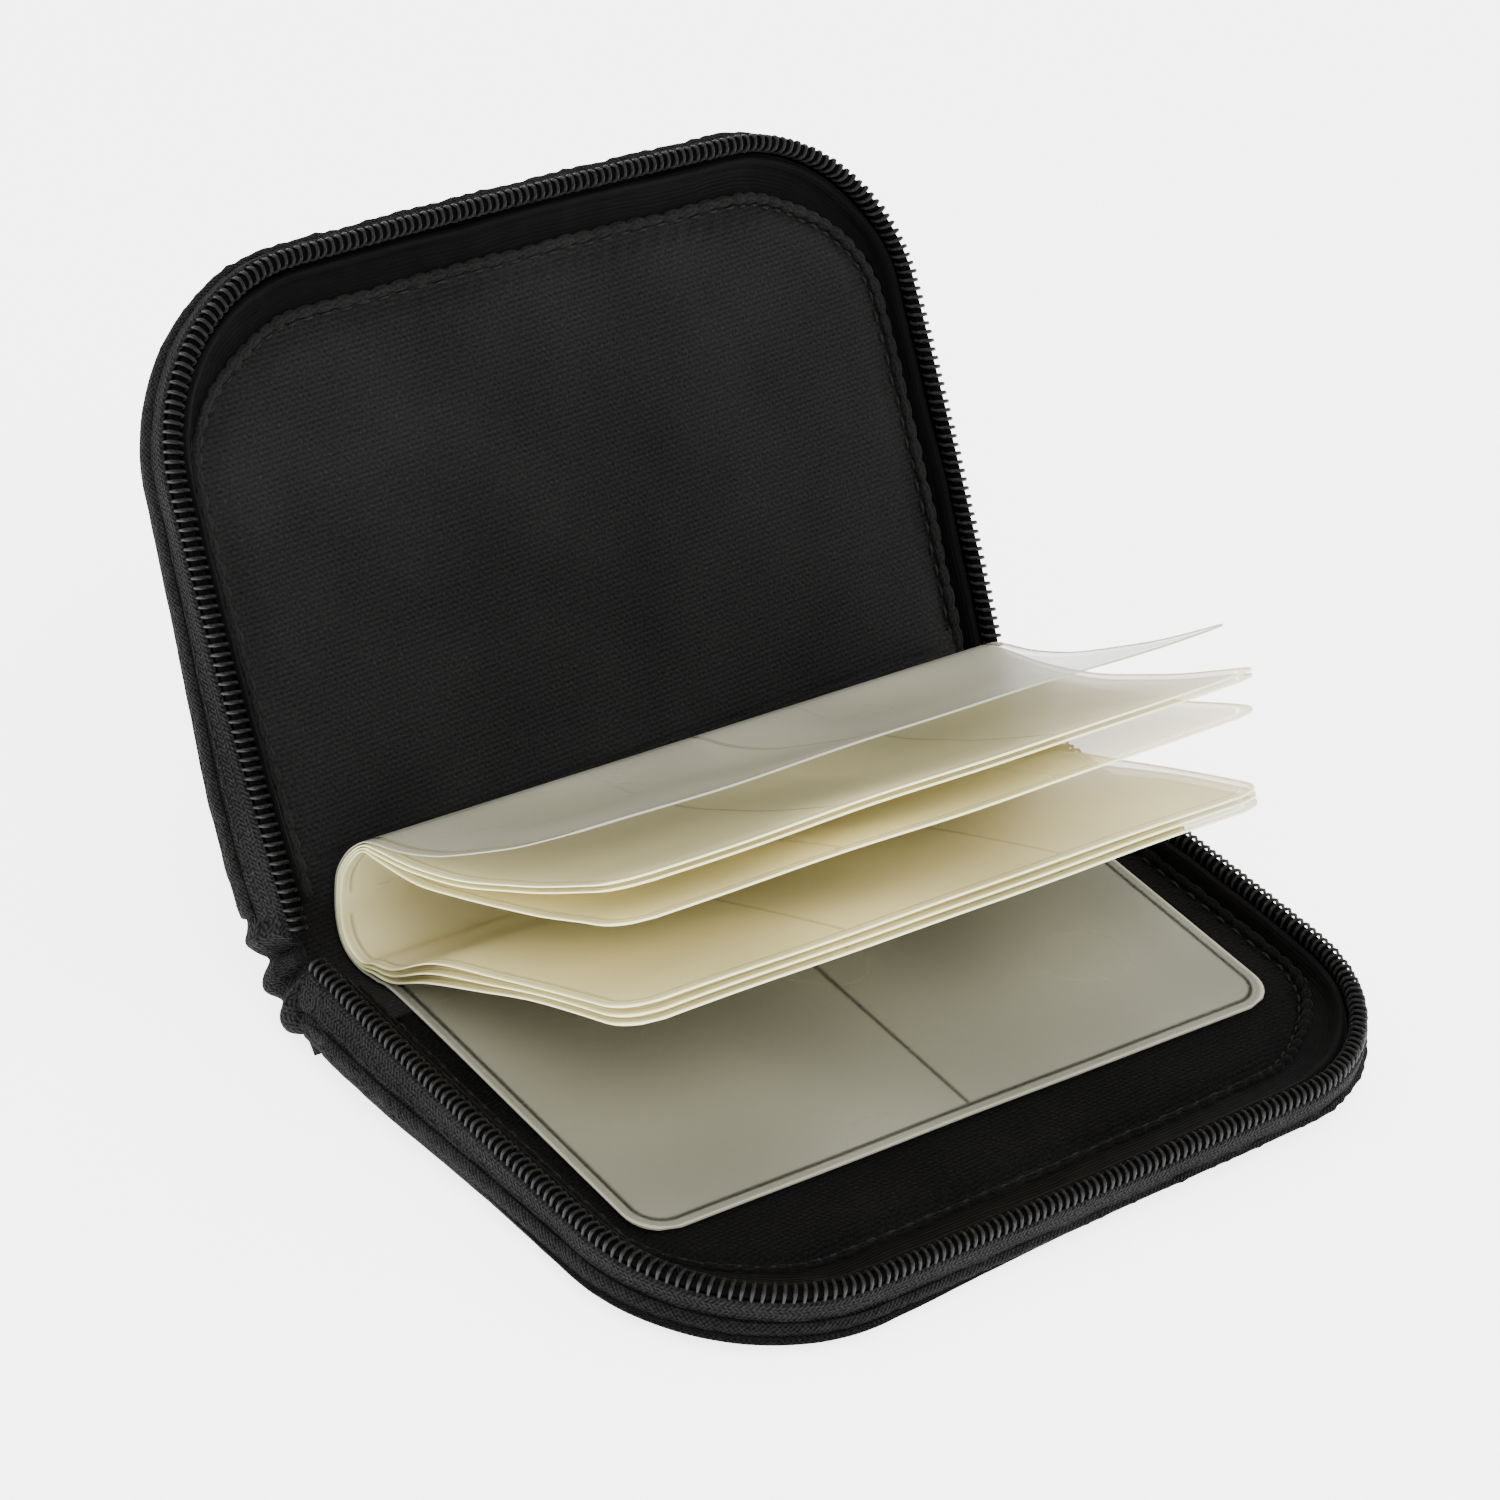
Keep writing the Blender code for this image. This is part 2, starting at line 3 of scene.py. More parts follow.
import logging
import math
from collections.abc import Callable
from dataclasses import dataclass, field
from enum import Enum

import bmesh
import bpy
import numpy as np
from mathutils import Euler, Matrix, Vector


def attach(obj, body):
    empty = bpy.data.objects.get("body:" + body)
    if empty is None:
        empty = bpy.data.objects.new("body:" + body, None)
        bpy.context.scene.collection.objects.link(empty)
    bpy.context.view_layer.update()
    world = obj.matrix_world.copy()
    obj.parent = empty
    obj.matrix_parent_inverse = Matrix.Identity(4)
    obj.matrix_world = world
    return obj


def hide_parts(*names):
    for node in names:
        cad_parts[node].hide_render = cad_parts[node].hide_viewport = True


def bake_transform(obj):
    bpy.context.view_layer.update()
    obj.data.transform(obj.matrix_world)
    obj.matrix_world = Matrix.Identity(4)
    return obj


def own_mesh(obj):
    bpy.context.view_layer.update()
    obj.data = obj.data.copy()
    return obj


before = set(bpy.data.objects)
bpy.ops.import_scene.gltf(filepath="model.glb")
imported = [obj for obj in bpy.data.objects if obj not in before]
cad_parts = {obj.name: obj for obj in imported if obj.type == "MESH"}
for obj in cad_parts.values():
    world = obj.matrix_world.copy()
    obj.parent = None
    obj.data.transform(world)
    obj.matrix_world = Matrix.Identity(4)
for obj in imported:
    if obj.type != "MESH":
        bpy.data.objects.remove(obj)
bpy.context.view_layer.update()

MM = 0.001
TURN = 2.0 * math.pi
LOG = logging.getLogger("memory_card_case")

Point2 = tuple[float, float]
Colour = tuple[float, float, float, float]
Grid = np.ndarray

HINGE_Y = 44.0
HINGE_Z = 11.5
LID_OPENING = 124.0
PAGE_LENGTH = 100.0
PAGE_YAW = -1.5
SHARP_ANGLE = 60.0


class Weave(Enum):
    """The ways in which a cloth of this case is woven."""

    TWILL = "twill"
    PLAIN = "plain"
    CHEVRON = "chevron"
    SATIN = "satin"


class Side(Enum):
    """The two ends of the spine."""

    LEFT = -1
    RIGHT = 1


class Level:
    """A value that changes over a surface, with the arithmetic that a finish needs."""

    def __init__(self, graph: "NodeGraph", socket: bpy.types.NodeSocket) -> None:
        """Keeps the graph and the socket."""
        self.graph = graph
        self.socket = socket

    def __add__(self, other: "Level | float") -> "Level":
        """Sum."""
        return self.graph.math("ADD", self, other)

    def __radd__(self, other: float) -> "Level":
        """Sum, reflected."""
        return self.graph.math("ADD", other, self)

    def __sub__(self, other: "Level | float") -> "Level":
        """Difference."""
        return self.graph.math("SUBTRACT", self, other)

    def __rsub__(self, other: float) -> "Level":
        """Difference, reflected."""
        return self.graph.math("SUBTRACT", other, self)

    def __mul__(self, other: "Level | float") -> "Level":
        """Product."""
        return self.graph.math("MULTIPLY", self, other)

    def __rmul__(self, other: float) -> "Level":
        """Product, reflected."""
        return self.graph.math("MULTIPLY", other, self)

    def __truediv__(self, other: "Level | float") -> "Level":
        """Quotient."""
        return self.graph.math("DIVIDE", self, other)

    def sine(self, period: float) -> "Level":
        """Sine wave of the given period."""
        return self.graph.math("SINE", self * (TURN / period))

    def size(self) -> "Level":
        """Absolute value."""
        return self.graph.math("ABSOLUTE", self)

    def least(self, other: "Level | float") -> "Level":
        """The smaller of two values."""
        return self.graph.math("MINIMUM", self, other)

    def most(self, other: "Level | float") -> "Level":
        """The larger of two values."""
        return self.graph.math("MAXIMUM", self, other)

    def root(self) -> "Level":
        """Square root."""
        return self.graph.math("SQRT", self)

    def fraction(self) -> "Level":
        """Part after the decimal point."""
        return self.graph.math("FRACT", self)

    def fade(self, start: float, end: float) -> "Level":
        """Smooth step from 0 at start to 1 at end.

        Args:
            start: Value below which the result is 0.
            end: Value above which the result is 1.

        Returns:
            The step as a level.
        """
        node = self.graph.node(
            "ShaderNodeMapRange",
            {"interpolation_type": "SMOOTHSTEP"},
            {"Value": self, "From Min": min(start, end), "From Max": max(start, end)},
        )
        step = Level(self.graph, node.outputs["Result"])
        return step if end > start else 1.0 - step

    def line(self, centre: float, width: float) -> "Level":
        """1 on a line at the centre value, falling to 0 at half the width on either side."""
        return (self - centre).size().fade(width / 2, 0.0)


class NodeGraph:
    """The nodes of one material, around its Principled shader."""

    def __init__(self, name: str) -> None:
        """Makes the material.

        Args:
            name: The material's name.
        """
        self.material = bpy.data.materials.new(name)
        self.material.use_nodes = True
        self.tree = self.material.node_tree
        self.shader = self.tree.nodes["Principled BSDF"]

    def node(
        self,
        kind: str,
        settings: dict[str, object] | None = None,
        sockets: dict[str | int, object] | None = None,
    ) -> bpy.types.Node:
        """Adds a node.

        Args:
            kind: Blender's type of the node.
            settings: Attributes, set first.
            sockets: Values or links of the input sockets.

        Returns:
            The node.
        """
        node = self.tree.nodes.new(kind)
        for key, value in (settings or {}).items():
            setattr(node, key, value)
        for key, value in (sockets or {}).items():
            self.feed(node.inputs[key], value)
        return node

    def feed(self, socket: bpy.types.NodeSocket, value: object) -> None:
        """Links a level or a socket to an input, or sets its value.

        Args:
            socket: The input.
            value: A Level, an output socket, or a plain value.
        """
        if isinstance(value, Level):
            self.tree.links.new(value.socket, socket)
        elif isinstance(value, bpy.types.NodeSocket):
            self.tree.links.new(value, socket)
        else:
            socket.default_value = value

    def math(self, operation: str, *values: "Level | float") -> Level:
        """Adds one Math node.

        Args:
            operation: The node's operation.
            values: Its inputs in order.

        Returns:
            The result.
        """
        node = self.node("ShaderNodeMath", {"operation": operation}, dict(enumerate(values)))
        return Level(self, node.outputs[0])

    def cloth_place(self) -> tuple[Level, Level]:
        """Place on the cloth in millimetres: along and across the piece.

        Returns:
            The two coordinates.
        """
        place = self.node("ShaderNodeUVMap", {"uv_map": "cloth"})
        parts = self.node("ShaderNodeSeparateXYZ", None, {0: place.outputs[0]})
        return Level(self, parts.outputs[0]), Level(self, parts.outputs[1])

    def noise(
        self, along: Level, across: Level, scale: float, detail: float = 0.0, stretch: float = 1.0
    ) -> Level:
        """Noise from 0 to 1 on the cloth.

        Args:
            along: Coordinate along the piece.
            across: Coordinate across the piece.
            scale: Size of a spot in millimetres.
            detail: Octaves.
            stretch: How many times longer a spot is along the piece.

        Returns:
            The noise.
        """
        place = self.node("ShaderNodeCombineXYZ", None, {0: along / (scale * stretch), 1: across / scale})
        sockets = {"Vector": place.outputs[0], "Scale": 1.0, "Detail": detail}
        node = self.node("ShaderNodeTexNoise", None, sockets)
        return Level(self, node.outputs[0])

    def mixed(self, share: Level, first: object, second: object) -> bpy.types.NodeSocket:
        """Mix of two colours.

        Args:
            share: Share of the second colour.
            first: A colour or a colour socket.
            second: A colour or a colour socket.

        Returns:
            The colour socket.
        """
        node = self.node("ShaderNodeMix", {"data_type": "RGBA"})
        self.feed(node.inputs["Factor"], share)
        self.feed(node.inputs[6], first)
        self.feed(node.inputs[7], second)
        return node.outputs[2]

    def bump(self, height: Level, depth: float, strength: float) -> None:
        """Feeds a Bump node to the shader's normal.

        Args:
            height: Height from 0 to 1.
            depth: What a height of 1 stands for, in metres.
            strength: Strength of the bump.
        """
        node = self.node("ShaderNodeBump", None, {"Height": height, "Distance": depth, "Strength": strength})
        self.feed(self.shader.inputs["Normal"], node.outputs[0])


def grey(level: float, warm: float = 0.0) -> Colour:
    """A grey, a little warmer or colder, as a colour with alpha."""
    return (level * (1 + warm), level, level * (1 - warm), 1.0)


@dataclass(frozen=True)
class ClothFinish:
    """A woven cloth: its weave, colours, sheen and relief, with an optional painted highlight line and
    painted shade in its crease valleys.
    """

    name: str
    weave: Weave
    thread: float
    dark: Colour
    light: Colour
    roughness: float = 0.9
    sheen: float = 0.02
    relief: float = 0.00012
    contrast: float = 0.9
    lint: float = 0.6
    grain: float = 0.35
    specular: float = 0.08
    # Centre and width across the piece of a painted highlight line, a painted satin sheen; brightest caps the
    # colour share.
    painted_ridge_highlight: Point2 | None = None
    brightest: float = 1.0
    # Period, along the piece, of painted shade in the fold valleys; 0 for none.
    painted_crease_shade_period: float = 0.0

    def relief_of(self, graph: NodeGraph, along: Level, across: Level) -> Level:
        """Height of the weave.

        Args:
            graph: The material's nodes.
            along: Coordinate along the piece.
            across: Coordinate across the piece.

        Returns:
            Height from 0 to 1.
        """
        if self.weave is Weave.TWILL:
            ribs = (across - along * 0.04).sine(self.thread)
            yarns = (along + across * 0.7).sine(self.thread * 1.3)
            return ribs * 0.16 + yarns * 0.07 + 0.5
        if self.weave is Weave.PLAIN:
            return along.sine(self.thread) * across.sine(self.thread) * 0.5 + 0.5
        if self.weave is Weave.CHEVRON:
            zigzag = ((across / 1.5).fraction() - 0.5).size() * 1.5
            ribs = (along + zigzag * 0.8).sine(self.thread)
            return ribs * 0.3 + across.sine(self.thread * 0.8) * 0.14 + 0.5
        fibres = graph.noise(along, across, self.thread, 1.0, 14.0)
        return fibres * 0.7 + across.sine(self.thread) * 0.12 + 0.15

    def make(self) -> bpy.types.Material:
        """Builds the material.

        Returns:
            The material.
        """
        graph = NodeGraph(self.name)
        along, across = graph.cloth_place()
        height = self.relief_of(graph, along, across)
        worn = graph.noise(along, across, 22.0, 2.0)
        fuzz = graph.noise(along, across, self.grain, 1.0)
        share = height * self.contrast + (worn - 0.5) * 0.9 + (fuzz - 0.5) * self.lint
        # Painted highlight: lightens the colour along a line across the piece, broken up by the worn noise.
        if self.painted_ridge_highlight is not None:
            share = share + across.line(*self.painted_ridge_highlight) * (worn * 1.6 + 0.4)
        # Painted shade: darkens the colour in the valleys of a sine that follows the pleats.
        if self.painted_crease_shade_period:
            fold = (along + across * 0.19 + 0.55).sine(self.painted_crease_shade_period)
            share = share * (fold * 0.65 + 0.5).most(0.05)
        lint = fuzz.fade(0.66, 0.82) * (worn.fade(0.45, 0.7) * 0.5 + 0.1)
        colour = graph.mixed(share.most(0.0).least(self.brightest), self.dark, self.light)
        colour = graph.mixed(lint, colour, tuple(min(1.0, c * 2.4) for c in self.light[:3]) + (1.0,))
        graph.feed(graph.shader.inputs["Base Color"], colour)
        graph.feed(graph.shader.inputs["Roughness"], self.roughness + (worn - 0.5) * 0.16)
        graph.shader.inputs["Specular IOR Level"].default_value = self.specular
        graph.shader.inputs["Sheen Weight"].default_value = self.sheen
        graph.shader.inputs["Sheen Roughness"].default_value = 0.45
        graph.bump(height + (fuzz - 0.5) * self.lint, self.relief, 0.9)
        return graph.material


@dataclass(frozen=True)
class FilmFinish:
    """Frosted see-through film with welded pocket lines."""

    name: str
    dividers: tuple[float, ...]
    colour: Colour
    haze: float
    weld_shade: float = 0.25
    weld_width: float = 0.8
    weld_inset: float = 1.6
    corner: float = 5.5
    page_length: float = PAGE_LENGTH
    page_width: float = 64.0
    shade: Colour = (0.06, 0.06, 0.05, 1.0)

    def make(self) -> bpy.types.Material:
        """Builds the material.

        Returns:
            The material.
        """
        graph = NodeGraph(self.name)
        along, from_tip = graph.cloth_place()
        end = along.least(self.page_length - along)
        over_end = (self.corner - end).most(0.0)
        over_tip = (self.corner - from_tip).most(0.0)
        edge = self.corner - (over_end * over_end + over_tip * over_tip).root()
        weld = edge.line(self.weld_inset, self.weld_width).most(edge.line(self.weld_inset - 0.8, 0.3) * 0.3)
        inside = from_tip.fade(self.weld_inset - 0.3, self.weld_inset)
        for place in self.dividers:
            weld = weld.most(along.line(place, self.weld_width) * inside * 0.8)
        weld = weld * from_tip.fade(self.page_width + 1.0, self.page_width)
        # The outermost half millimetre is paler and more opaque: partly the film's own whiter edge, partly a
        # painted edge highlight.
        rim = edge.fade(0.45, 0.1)
        border = edge.fade(self.weld_inset, self.weld_inset - 0.6)
        cloud = graph.noise(along, from_tip, 24.0)
        pale = tuple(min(1.0, c * 1.16) for c in self.colour[:3]) + (1.0,)
        dull = tuple(c * 0.82 for c in self.colour[:3]) + (1.0,)
        colour = graph.mixed(cloud.fade(0.3, 0.7), dull, self.colour)
        colour = graph.mixed((rim + border * 0.2).least(1.0), colour, pale)
        colour = graph.mixed(weld * self.weld_shade, colour, self.shade)
        frost = graph.noise(along, from_tip, 0.55)
        graph.feed(graph.shader.inputs["Base Color"], colour)
        alpha = self.haze + (cloud - 0.5) * 0.12 + rim * 0.4 - weld * 0.38
        graph.feed(graph.shader.inputs["Alpha"], alpha.most(0.05).least(1.0))
        graph.feed(graph.shader.inputs["Roughness"], 0.44 + (cloud - 0.5) * 0.16 - weld * 0.14)
        graph.shader.inputs["IOR"].default_value = 1.45
        graph.shader.inputs["Specular IOR Level"].default_value = 0.35
        wave = graph.noise(along, from_tip, 17.0)
        graph.bump(wave * 0.6 + frost * 0.02 - weld * 0.35, 0.0005, 0.5)
        graph.material.use_transparent_shadow = True
        return graph.material


@dataclass(frozen=True)
class SolidFinish:
    """Moulded plastic, thread or lacquered metal, with a grain that breaks up its gloss and an optional
    painted shade on the tops.
    """

    name: str
    dark: Colour
    light: Colour
    roughness: float
    metallic: float = 0.0
    spot: float = 0.9
    relief: float = 0.00003
    specular: float = 0.5
    # Heights across the coil's profile: painted shade keeps the loops dark above the first and fades out by
    # the second, so the lower runs read as a painted highlight.
    painted_top_shade: Point2 | None = None

    def make(self) -> bpy.types.Material:
        """Builds the material.

        Returns:
            The material.
        """
        graph = NodeGraph(self.name)
        place = graph.node("ShaderNodeTexCoord")
        sockets = {"Vector": place.outputs["Object"], "Scale": 1.0 / (self.spot * MM), "Detail": 3.0}
        noise = graph.node("ShaderNodeTexNoise", None, sockets)
        wear = Level(graph, noise.outputs[0])
        geometry = graph.node("ShaderNodeNewGeometry")
        edges = Level(graph, geometry.outputs["Pointiness"]).fade(0.5, 0.58)
        share = (wear.fade(0.3, 0.75) * 0.7 + edges * 0.5).least(1.0)
        # Painted shade on the loops' tops; only the lower runs get the lighter colour.
        if self.painted_top_shade is not None:
            share = share * graph.cloth_place()[1].fade(*self.painted_top_shade)
        colour = graph.mixed(share, self.dark, self.light)
        graph.feed(graph.shader.inputs["Base Color"], colour)
        graph.feed(graph.shader.inputs["Roughness"], self.roughness + (wear - 0.5) * 0.2)
        graph.shader.inputs["Metallic"].default_value = self.metallic
        graph.shader.inputs["Specular IOR Level"].default_value = self.specular
        graph.bump(wear, self.relief, 0.6)
        return graph.material


@dataclass
class Finishes:
    """Every finish of the case, made once."""

    cover: ClothFinish = ClothFinish(
        "cover_fabric", Weave.PLAIN, 0.62, grey(0.001), grey(0.0125, 0.02), relief=0.0004, lint=2.0, grain=0.6
    )
    lid_lining: ClothFinish = ClothFinish(
        "lining_twill", Weave.TWILL, 0.66, grey(0.002), grey(0.0135, 0.02), lint=1.1, grain=0.4
    )
    # Darker copy of the lid's lining twill: painted shade on the base's lining.
    base_lining: ClothFinish = ClothFinish(
        "lining_twill_painted_shade", Weave.TWILL, 0.66, grey(0.0008), grey(0.0058, 0.02), lint=1.2, grain=0.4,
        specular=0.03,
    )
    # The binding's bright ridge is a painted satin highlight, not a lighter thread.
    binding: ClothFinish = ClothFinish(
        "satin_binding", Weave.SATIN, 0.5, grey(0.0004), grey(0.0022), roughness=0.5, specular=0.02, lint=0.2,
        painted_ridge_highlight=(4.6, 1.9), brightest=8.0,
    )
    tape: ClothFinish = ClothFinish(
        "zip_tape", Weave.CHEVRON, 0.62, grey(0.001), grey(0.019), relief=0.0004, lint=1.7, grain=0.5
    )
    # The gathered tape is a darker copy of the tape, with painted shade in its crease valleys.
    gathers: ClothFinish = ClothFinish(
        "gathered_tape", Weave.CHEVRON, 0.6, grey(0.0004), grey(0.018), relief=0.0004, lint=1.5, grain=0.5,
        painted_crease_shade_period=6.1,
    )
    # The coil's dark tops and lighter lower runs are painted shade and highlight.
    teeth: SolidFinish = SolidFinish(
        "zip_coil", grey(0.001), grey(0.022), 0.42, specular=0.16, painted_top_shade=(-0.2, -0.7)
    )
    thread: SolidFinish = SolidFinish("thread", grey(0.003), grey(0.012), 0.75, spot=0.25, specular=0.12)
    pale_thread: SolidFinish = SolidFinish(
        "pale_thread", (0.5, 0.47, 0.36, 1.0), (0.7, 0.66, 0.5, 1.0), 0.6, spot=0.3, specular=0.3
    )
    metal: SolidFinish = SolidFinish("slider_metal", grey(0.012), grey(0.06), 0.34, metallic=0.7, spot=1.6)
    cord: SolidFinish = SolidFinish("coil_cord", grey(0.0008), grey(0.003), 0.9, spot=0.3, specular=0.03)
    outer_film: FilmFinish = FilmFinish("page_film_outer", (50.0,), (0.35, 0.35, 0.275, 1.0), 0.47, 0.7, 1.15)
    inner_film: FilmFinish = FilmFinish("page_film_inner", (33.3, 66.7), (0.93, 0.85, 0.50, 1.0), 0.55)
    made: dict[str, bpy.types.Material] = field(default_factory=dict)

    def get(self, finish: ClothFinish | SolidFinish | FilmFinish) -> bpy.types.Material:
        """The material of a finish, built at its first use.

        Args:
            finish: One of this class's finishes.

        Returns:
            The material.
        """
        if finish.name not in self.made:
            self.made[finish.name] = finish.make()
        return self.made[finish.name]


@dataclass
class Draft:
    """A mesh in the making, in millimetres, with its place on the cloth at each point."""

    points: list[tuple[float, float, float]] = field(default_factory=list)
    places: list[Point2] = field(default_factory=list)
    faces: list[tuple[int, ...]] = field(default_factory=list)

    def grid(self, points: Grid, places: Grid, around: bool = False) -> int:
        """Adds a grid of quads.

        Args:
            points: Array of rows, columns and x, y, z.
            places: Array of rows, columns and the place on the cloth.
            around: True if each row is a closed ring.

        Returns:
            Index of the grid's first point.
        """
        rows, cols = points.shape[:2]
        first = len(self.points)
        self.points += [tuple(p) for p in points.reshape(-1, 3)]
        self.places += [tuple(p) for p in places.reshape(-1, 2)]
        for r in range(rows - 1):
            for c in range(cols if around else cols - 1):
                a, b = first + r * cols + c, first + r * cols + (c + 1) % cols
                self.faces.append((a, b, b + cols, a + cols))
        return first

    def tube(self, points: Grid, places: Grid) -> None:
        """Adds a closed tube: rings one after another, with a face over each end.

        Args:
            points: Array of rings, points and x, y, z.
            places: Array of rings, points and the place on the cloth.
        """
        first = self.grid(points, places, around=True)
        rows, cols = points.shape[:2]
        for start in (first, first + (rows - 1) * cols):
            self.faces.append(tuple(range(start, start + cols)))

    def slab(self, front: Grid, behind: Grid, places: Grid) -> None:
        """Adds a thin closed sheet between two surfaces.

        Args:
            front: Array of rows, columns and x, y, z.
            behind: The same for the other surface.
            places: Array of rows, columns and the place on the cloth.
        """
        ring = np.concatenate([front, behind[:, ::-1]], axis=1)
        first = self.grid(ring, np.concatenate([places, places[:, ::-1]], axis=1), around=True)
        rows, cols = ring.shape[:2]
        for row in (first, first + (rows - 1) * cols):
            for c in range(front.shape[1] - 1):
                self.faces.append((row + c, row + c + 1, row + cols - 2 - c, row + cols - 1 - c))

    def build(
        self,
        name: str,
        material: bpy.types.Material,
        world: Matrix | None = None,
        weld: float = 1e-6,
    ) -> bpy.types.Object:
        """Makes the object.

        Args:
            name: The piece's name.
            material: Its material.
            world: Frame that the points are given in, in metres.
            weld: Points closer than this, in metres, are merged.

        Returns:
            The object, in the row frame.
        """
        shape = bmesh.new()
        verts = [shape.verts.new(Vector(p) * MM) for p in self.points]
        layer = shape.loops.layers.uv.new("cloth")
        for corners in self.faces:
            if len(set(corners)) < 3:
                continue
            face = shape.faces.new([verts[c] for c in corners])
            for loop, c in zip(face.loops, corners):
                loop[layer].uv = self.places[c]
        bmesh.ops.remove_doubles(shape, verts=shape.verts, dist=weld)
        bmesh.ops.dissolve_degenerate(shape, edges=shape.edges, dist=1e-8)
        bmesh.ops.recalc_face_normals(shape, faces=shape.faces)
        if world is not None:
            bmesh.ops.transform(shape, matrix=world, verts=shape.verts)
        mesh = bpy.data.meshes.new(name)
        shape.to_mesh(mesh)
        shape.free()
        mesh.materials.append(material)
        mesh.shade_smooth()
        mesh.set_sharp_from_angle(angle=math.radians(SHARP_ANGLE))
        obj = bpy.data.objects.new(name, mesh)
        bpy.context.scene.collection.objects.link(obj)
        return obj


def ripple(along: Grid | float, across: Grid | float, size: float, seed: float) -> Grid | float:
    """A soft irregular wave from -1 to 1, made of a few sines.

    Args:
        along: First coordinate.
        across: Second coordinate.
        size: Length of the main wave, in the same unit.
        seed: Shifts the pattern.

    Returns:
        The wave's height.
    """
    a = np.sin(TURN * (along / size + 0.31 * seed) + 1.3 * np.sin(TURN * across / (size * 1.7) + seed))
    b = np.sin(TURN * (along / (size * 0.53) + 0.77 * seed) + TURN * across / (size * 2.3))
    c = np.sin(TURN * (across / (size * 0.9) - along / (size * 1.9)) + 2.1 * seed)
    return 0.5 * a + 0.27 * b + 0.23 * c


def carry(obj: bpy.types.Object, slot: str, body: str, *nodes: str) -> bpy.types.Object:
    """Puts a finished piece on its body.

    Args:
        obj: The piece.
        slot: The record's material slot; not used.
        body: The body that it moves with.
        nodes: The CAD nodes that it stands for.

    Returns:
        The piece.
    """
    if nodes:
        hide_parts(*nodes)
    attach(obj, body)
    LOG.info("%s: %d faces", obj.name, len(obj.data.polygons))
    return obj


@dataclass(frozen=True)
class RimLine:
    """The teeth line of a half in plan, in millimetres, from the hinge line's left end to its right end."""

    half_length: float = 58.35
    depth: float = 82.0
    corner: float = 23.7
    bow: float = 1.0
    depth_at_spine: float = 11.5
    depth_at_front: float = 7.0

    @property
    def side(self) -> float:
        """Length of a straight side."""
        return self.depth - self.corner

    @property
    def length(self) -> float:
        """Length of the whole line."""
        return 2 * self.side + math.pi * self.corner + 2 * (self.half_length - self.corner)

    @property
    def wedge(self) -> float:
        """Angle between a half's rim plane and its floor."""
        return math.atan((self.depth_at_spine - self.depth_at_front) / self.depth)

    def point(self, s: Grid) -> Grid:
        """Points (x, d) of the line.

        Args:
            s: Lengths along the line.

        Returns:
            Array of x and d.
        """
        s = np.asarray(s, float)
        mirrored = s > self.length / 2
        t = np.where(mirrored, self.length - s, s)
        arc = self.corner * math.pi / 2
        turn = np.clip((t - self.side) / self.corner, 0.0, math.pi / 2)
        x = -self.half_length + self.corner * (1 - np.cos(turn)) + np.maximum(t - self.side - arc, 0.0)
        d = np.minimum(t, self.side) + self.corner * np.sin(turn)
        across, along = x / self.half_length, d / self.depth
        x = x + self.bow * 4 * along * (1 - along) * across
        d = d + self.bow * (1 - across * across) * along
        return np.stack([np.where(mirrored, -x, x), d], axis=-1)

    def place(self, s: Grid, u: Grid, w: Grid) -> Grid:
        """Points of a half, u outwards from the line and w above the rim plane.

        Args:
            s: Lengths along the line.
            u: Distances outwards.
            w: Heights.

        Returns:
            Array of x, y, z in the half's own frame.
        """
        s, u, w = np.broadcast_arrays(np.asarray(s, float), u, w)
        on_line = self.point(s)
        along = self.point(s + 0.05) - self.point(s - 0.05)
        along /= np.linalg.norm(along, axis=-1, keepdims=True)
        x = on_line[..., 0] - along[..., 1] * u
        d = on_line[..., 1] + along[..., 0] * u
        return np.stack([x, -d, w], axis=-1)

    def inset(self, x: Grid, d: Grid) -> Grid:
        """Distance in from the line, ends of the hinge line apart.

        Args:
            x: Places along the hinge line.
            d: Distances from it.

        Returns:
            The distances.
        """
        corner_x = np.maximum(np.abs(x) - (self.half_length - self.corner), 0)
        corner_d = np.maximum(d - self.side, 0)
        straight = np.minimum(self.half_length - np.abs(x), self.depth - d)
        return np.where((corner_x > 0) & (corner_d > 0), self.corner - np.hypot(corner_x, corner_d), straight)

    def half_depth(self, d: Grid) -> Grid:
        """Depth of a half below its rim plane, d from the hinge."""
        return self.depth_at_spine - (self.depth_at_spine - self.depth_at_front) * np.asarray(d) / self.depth


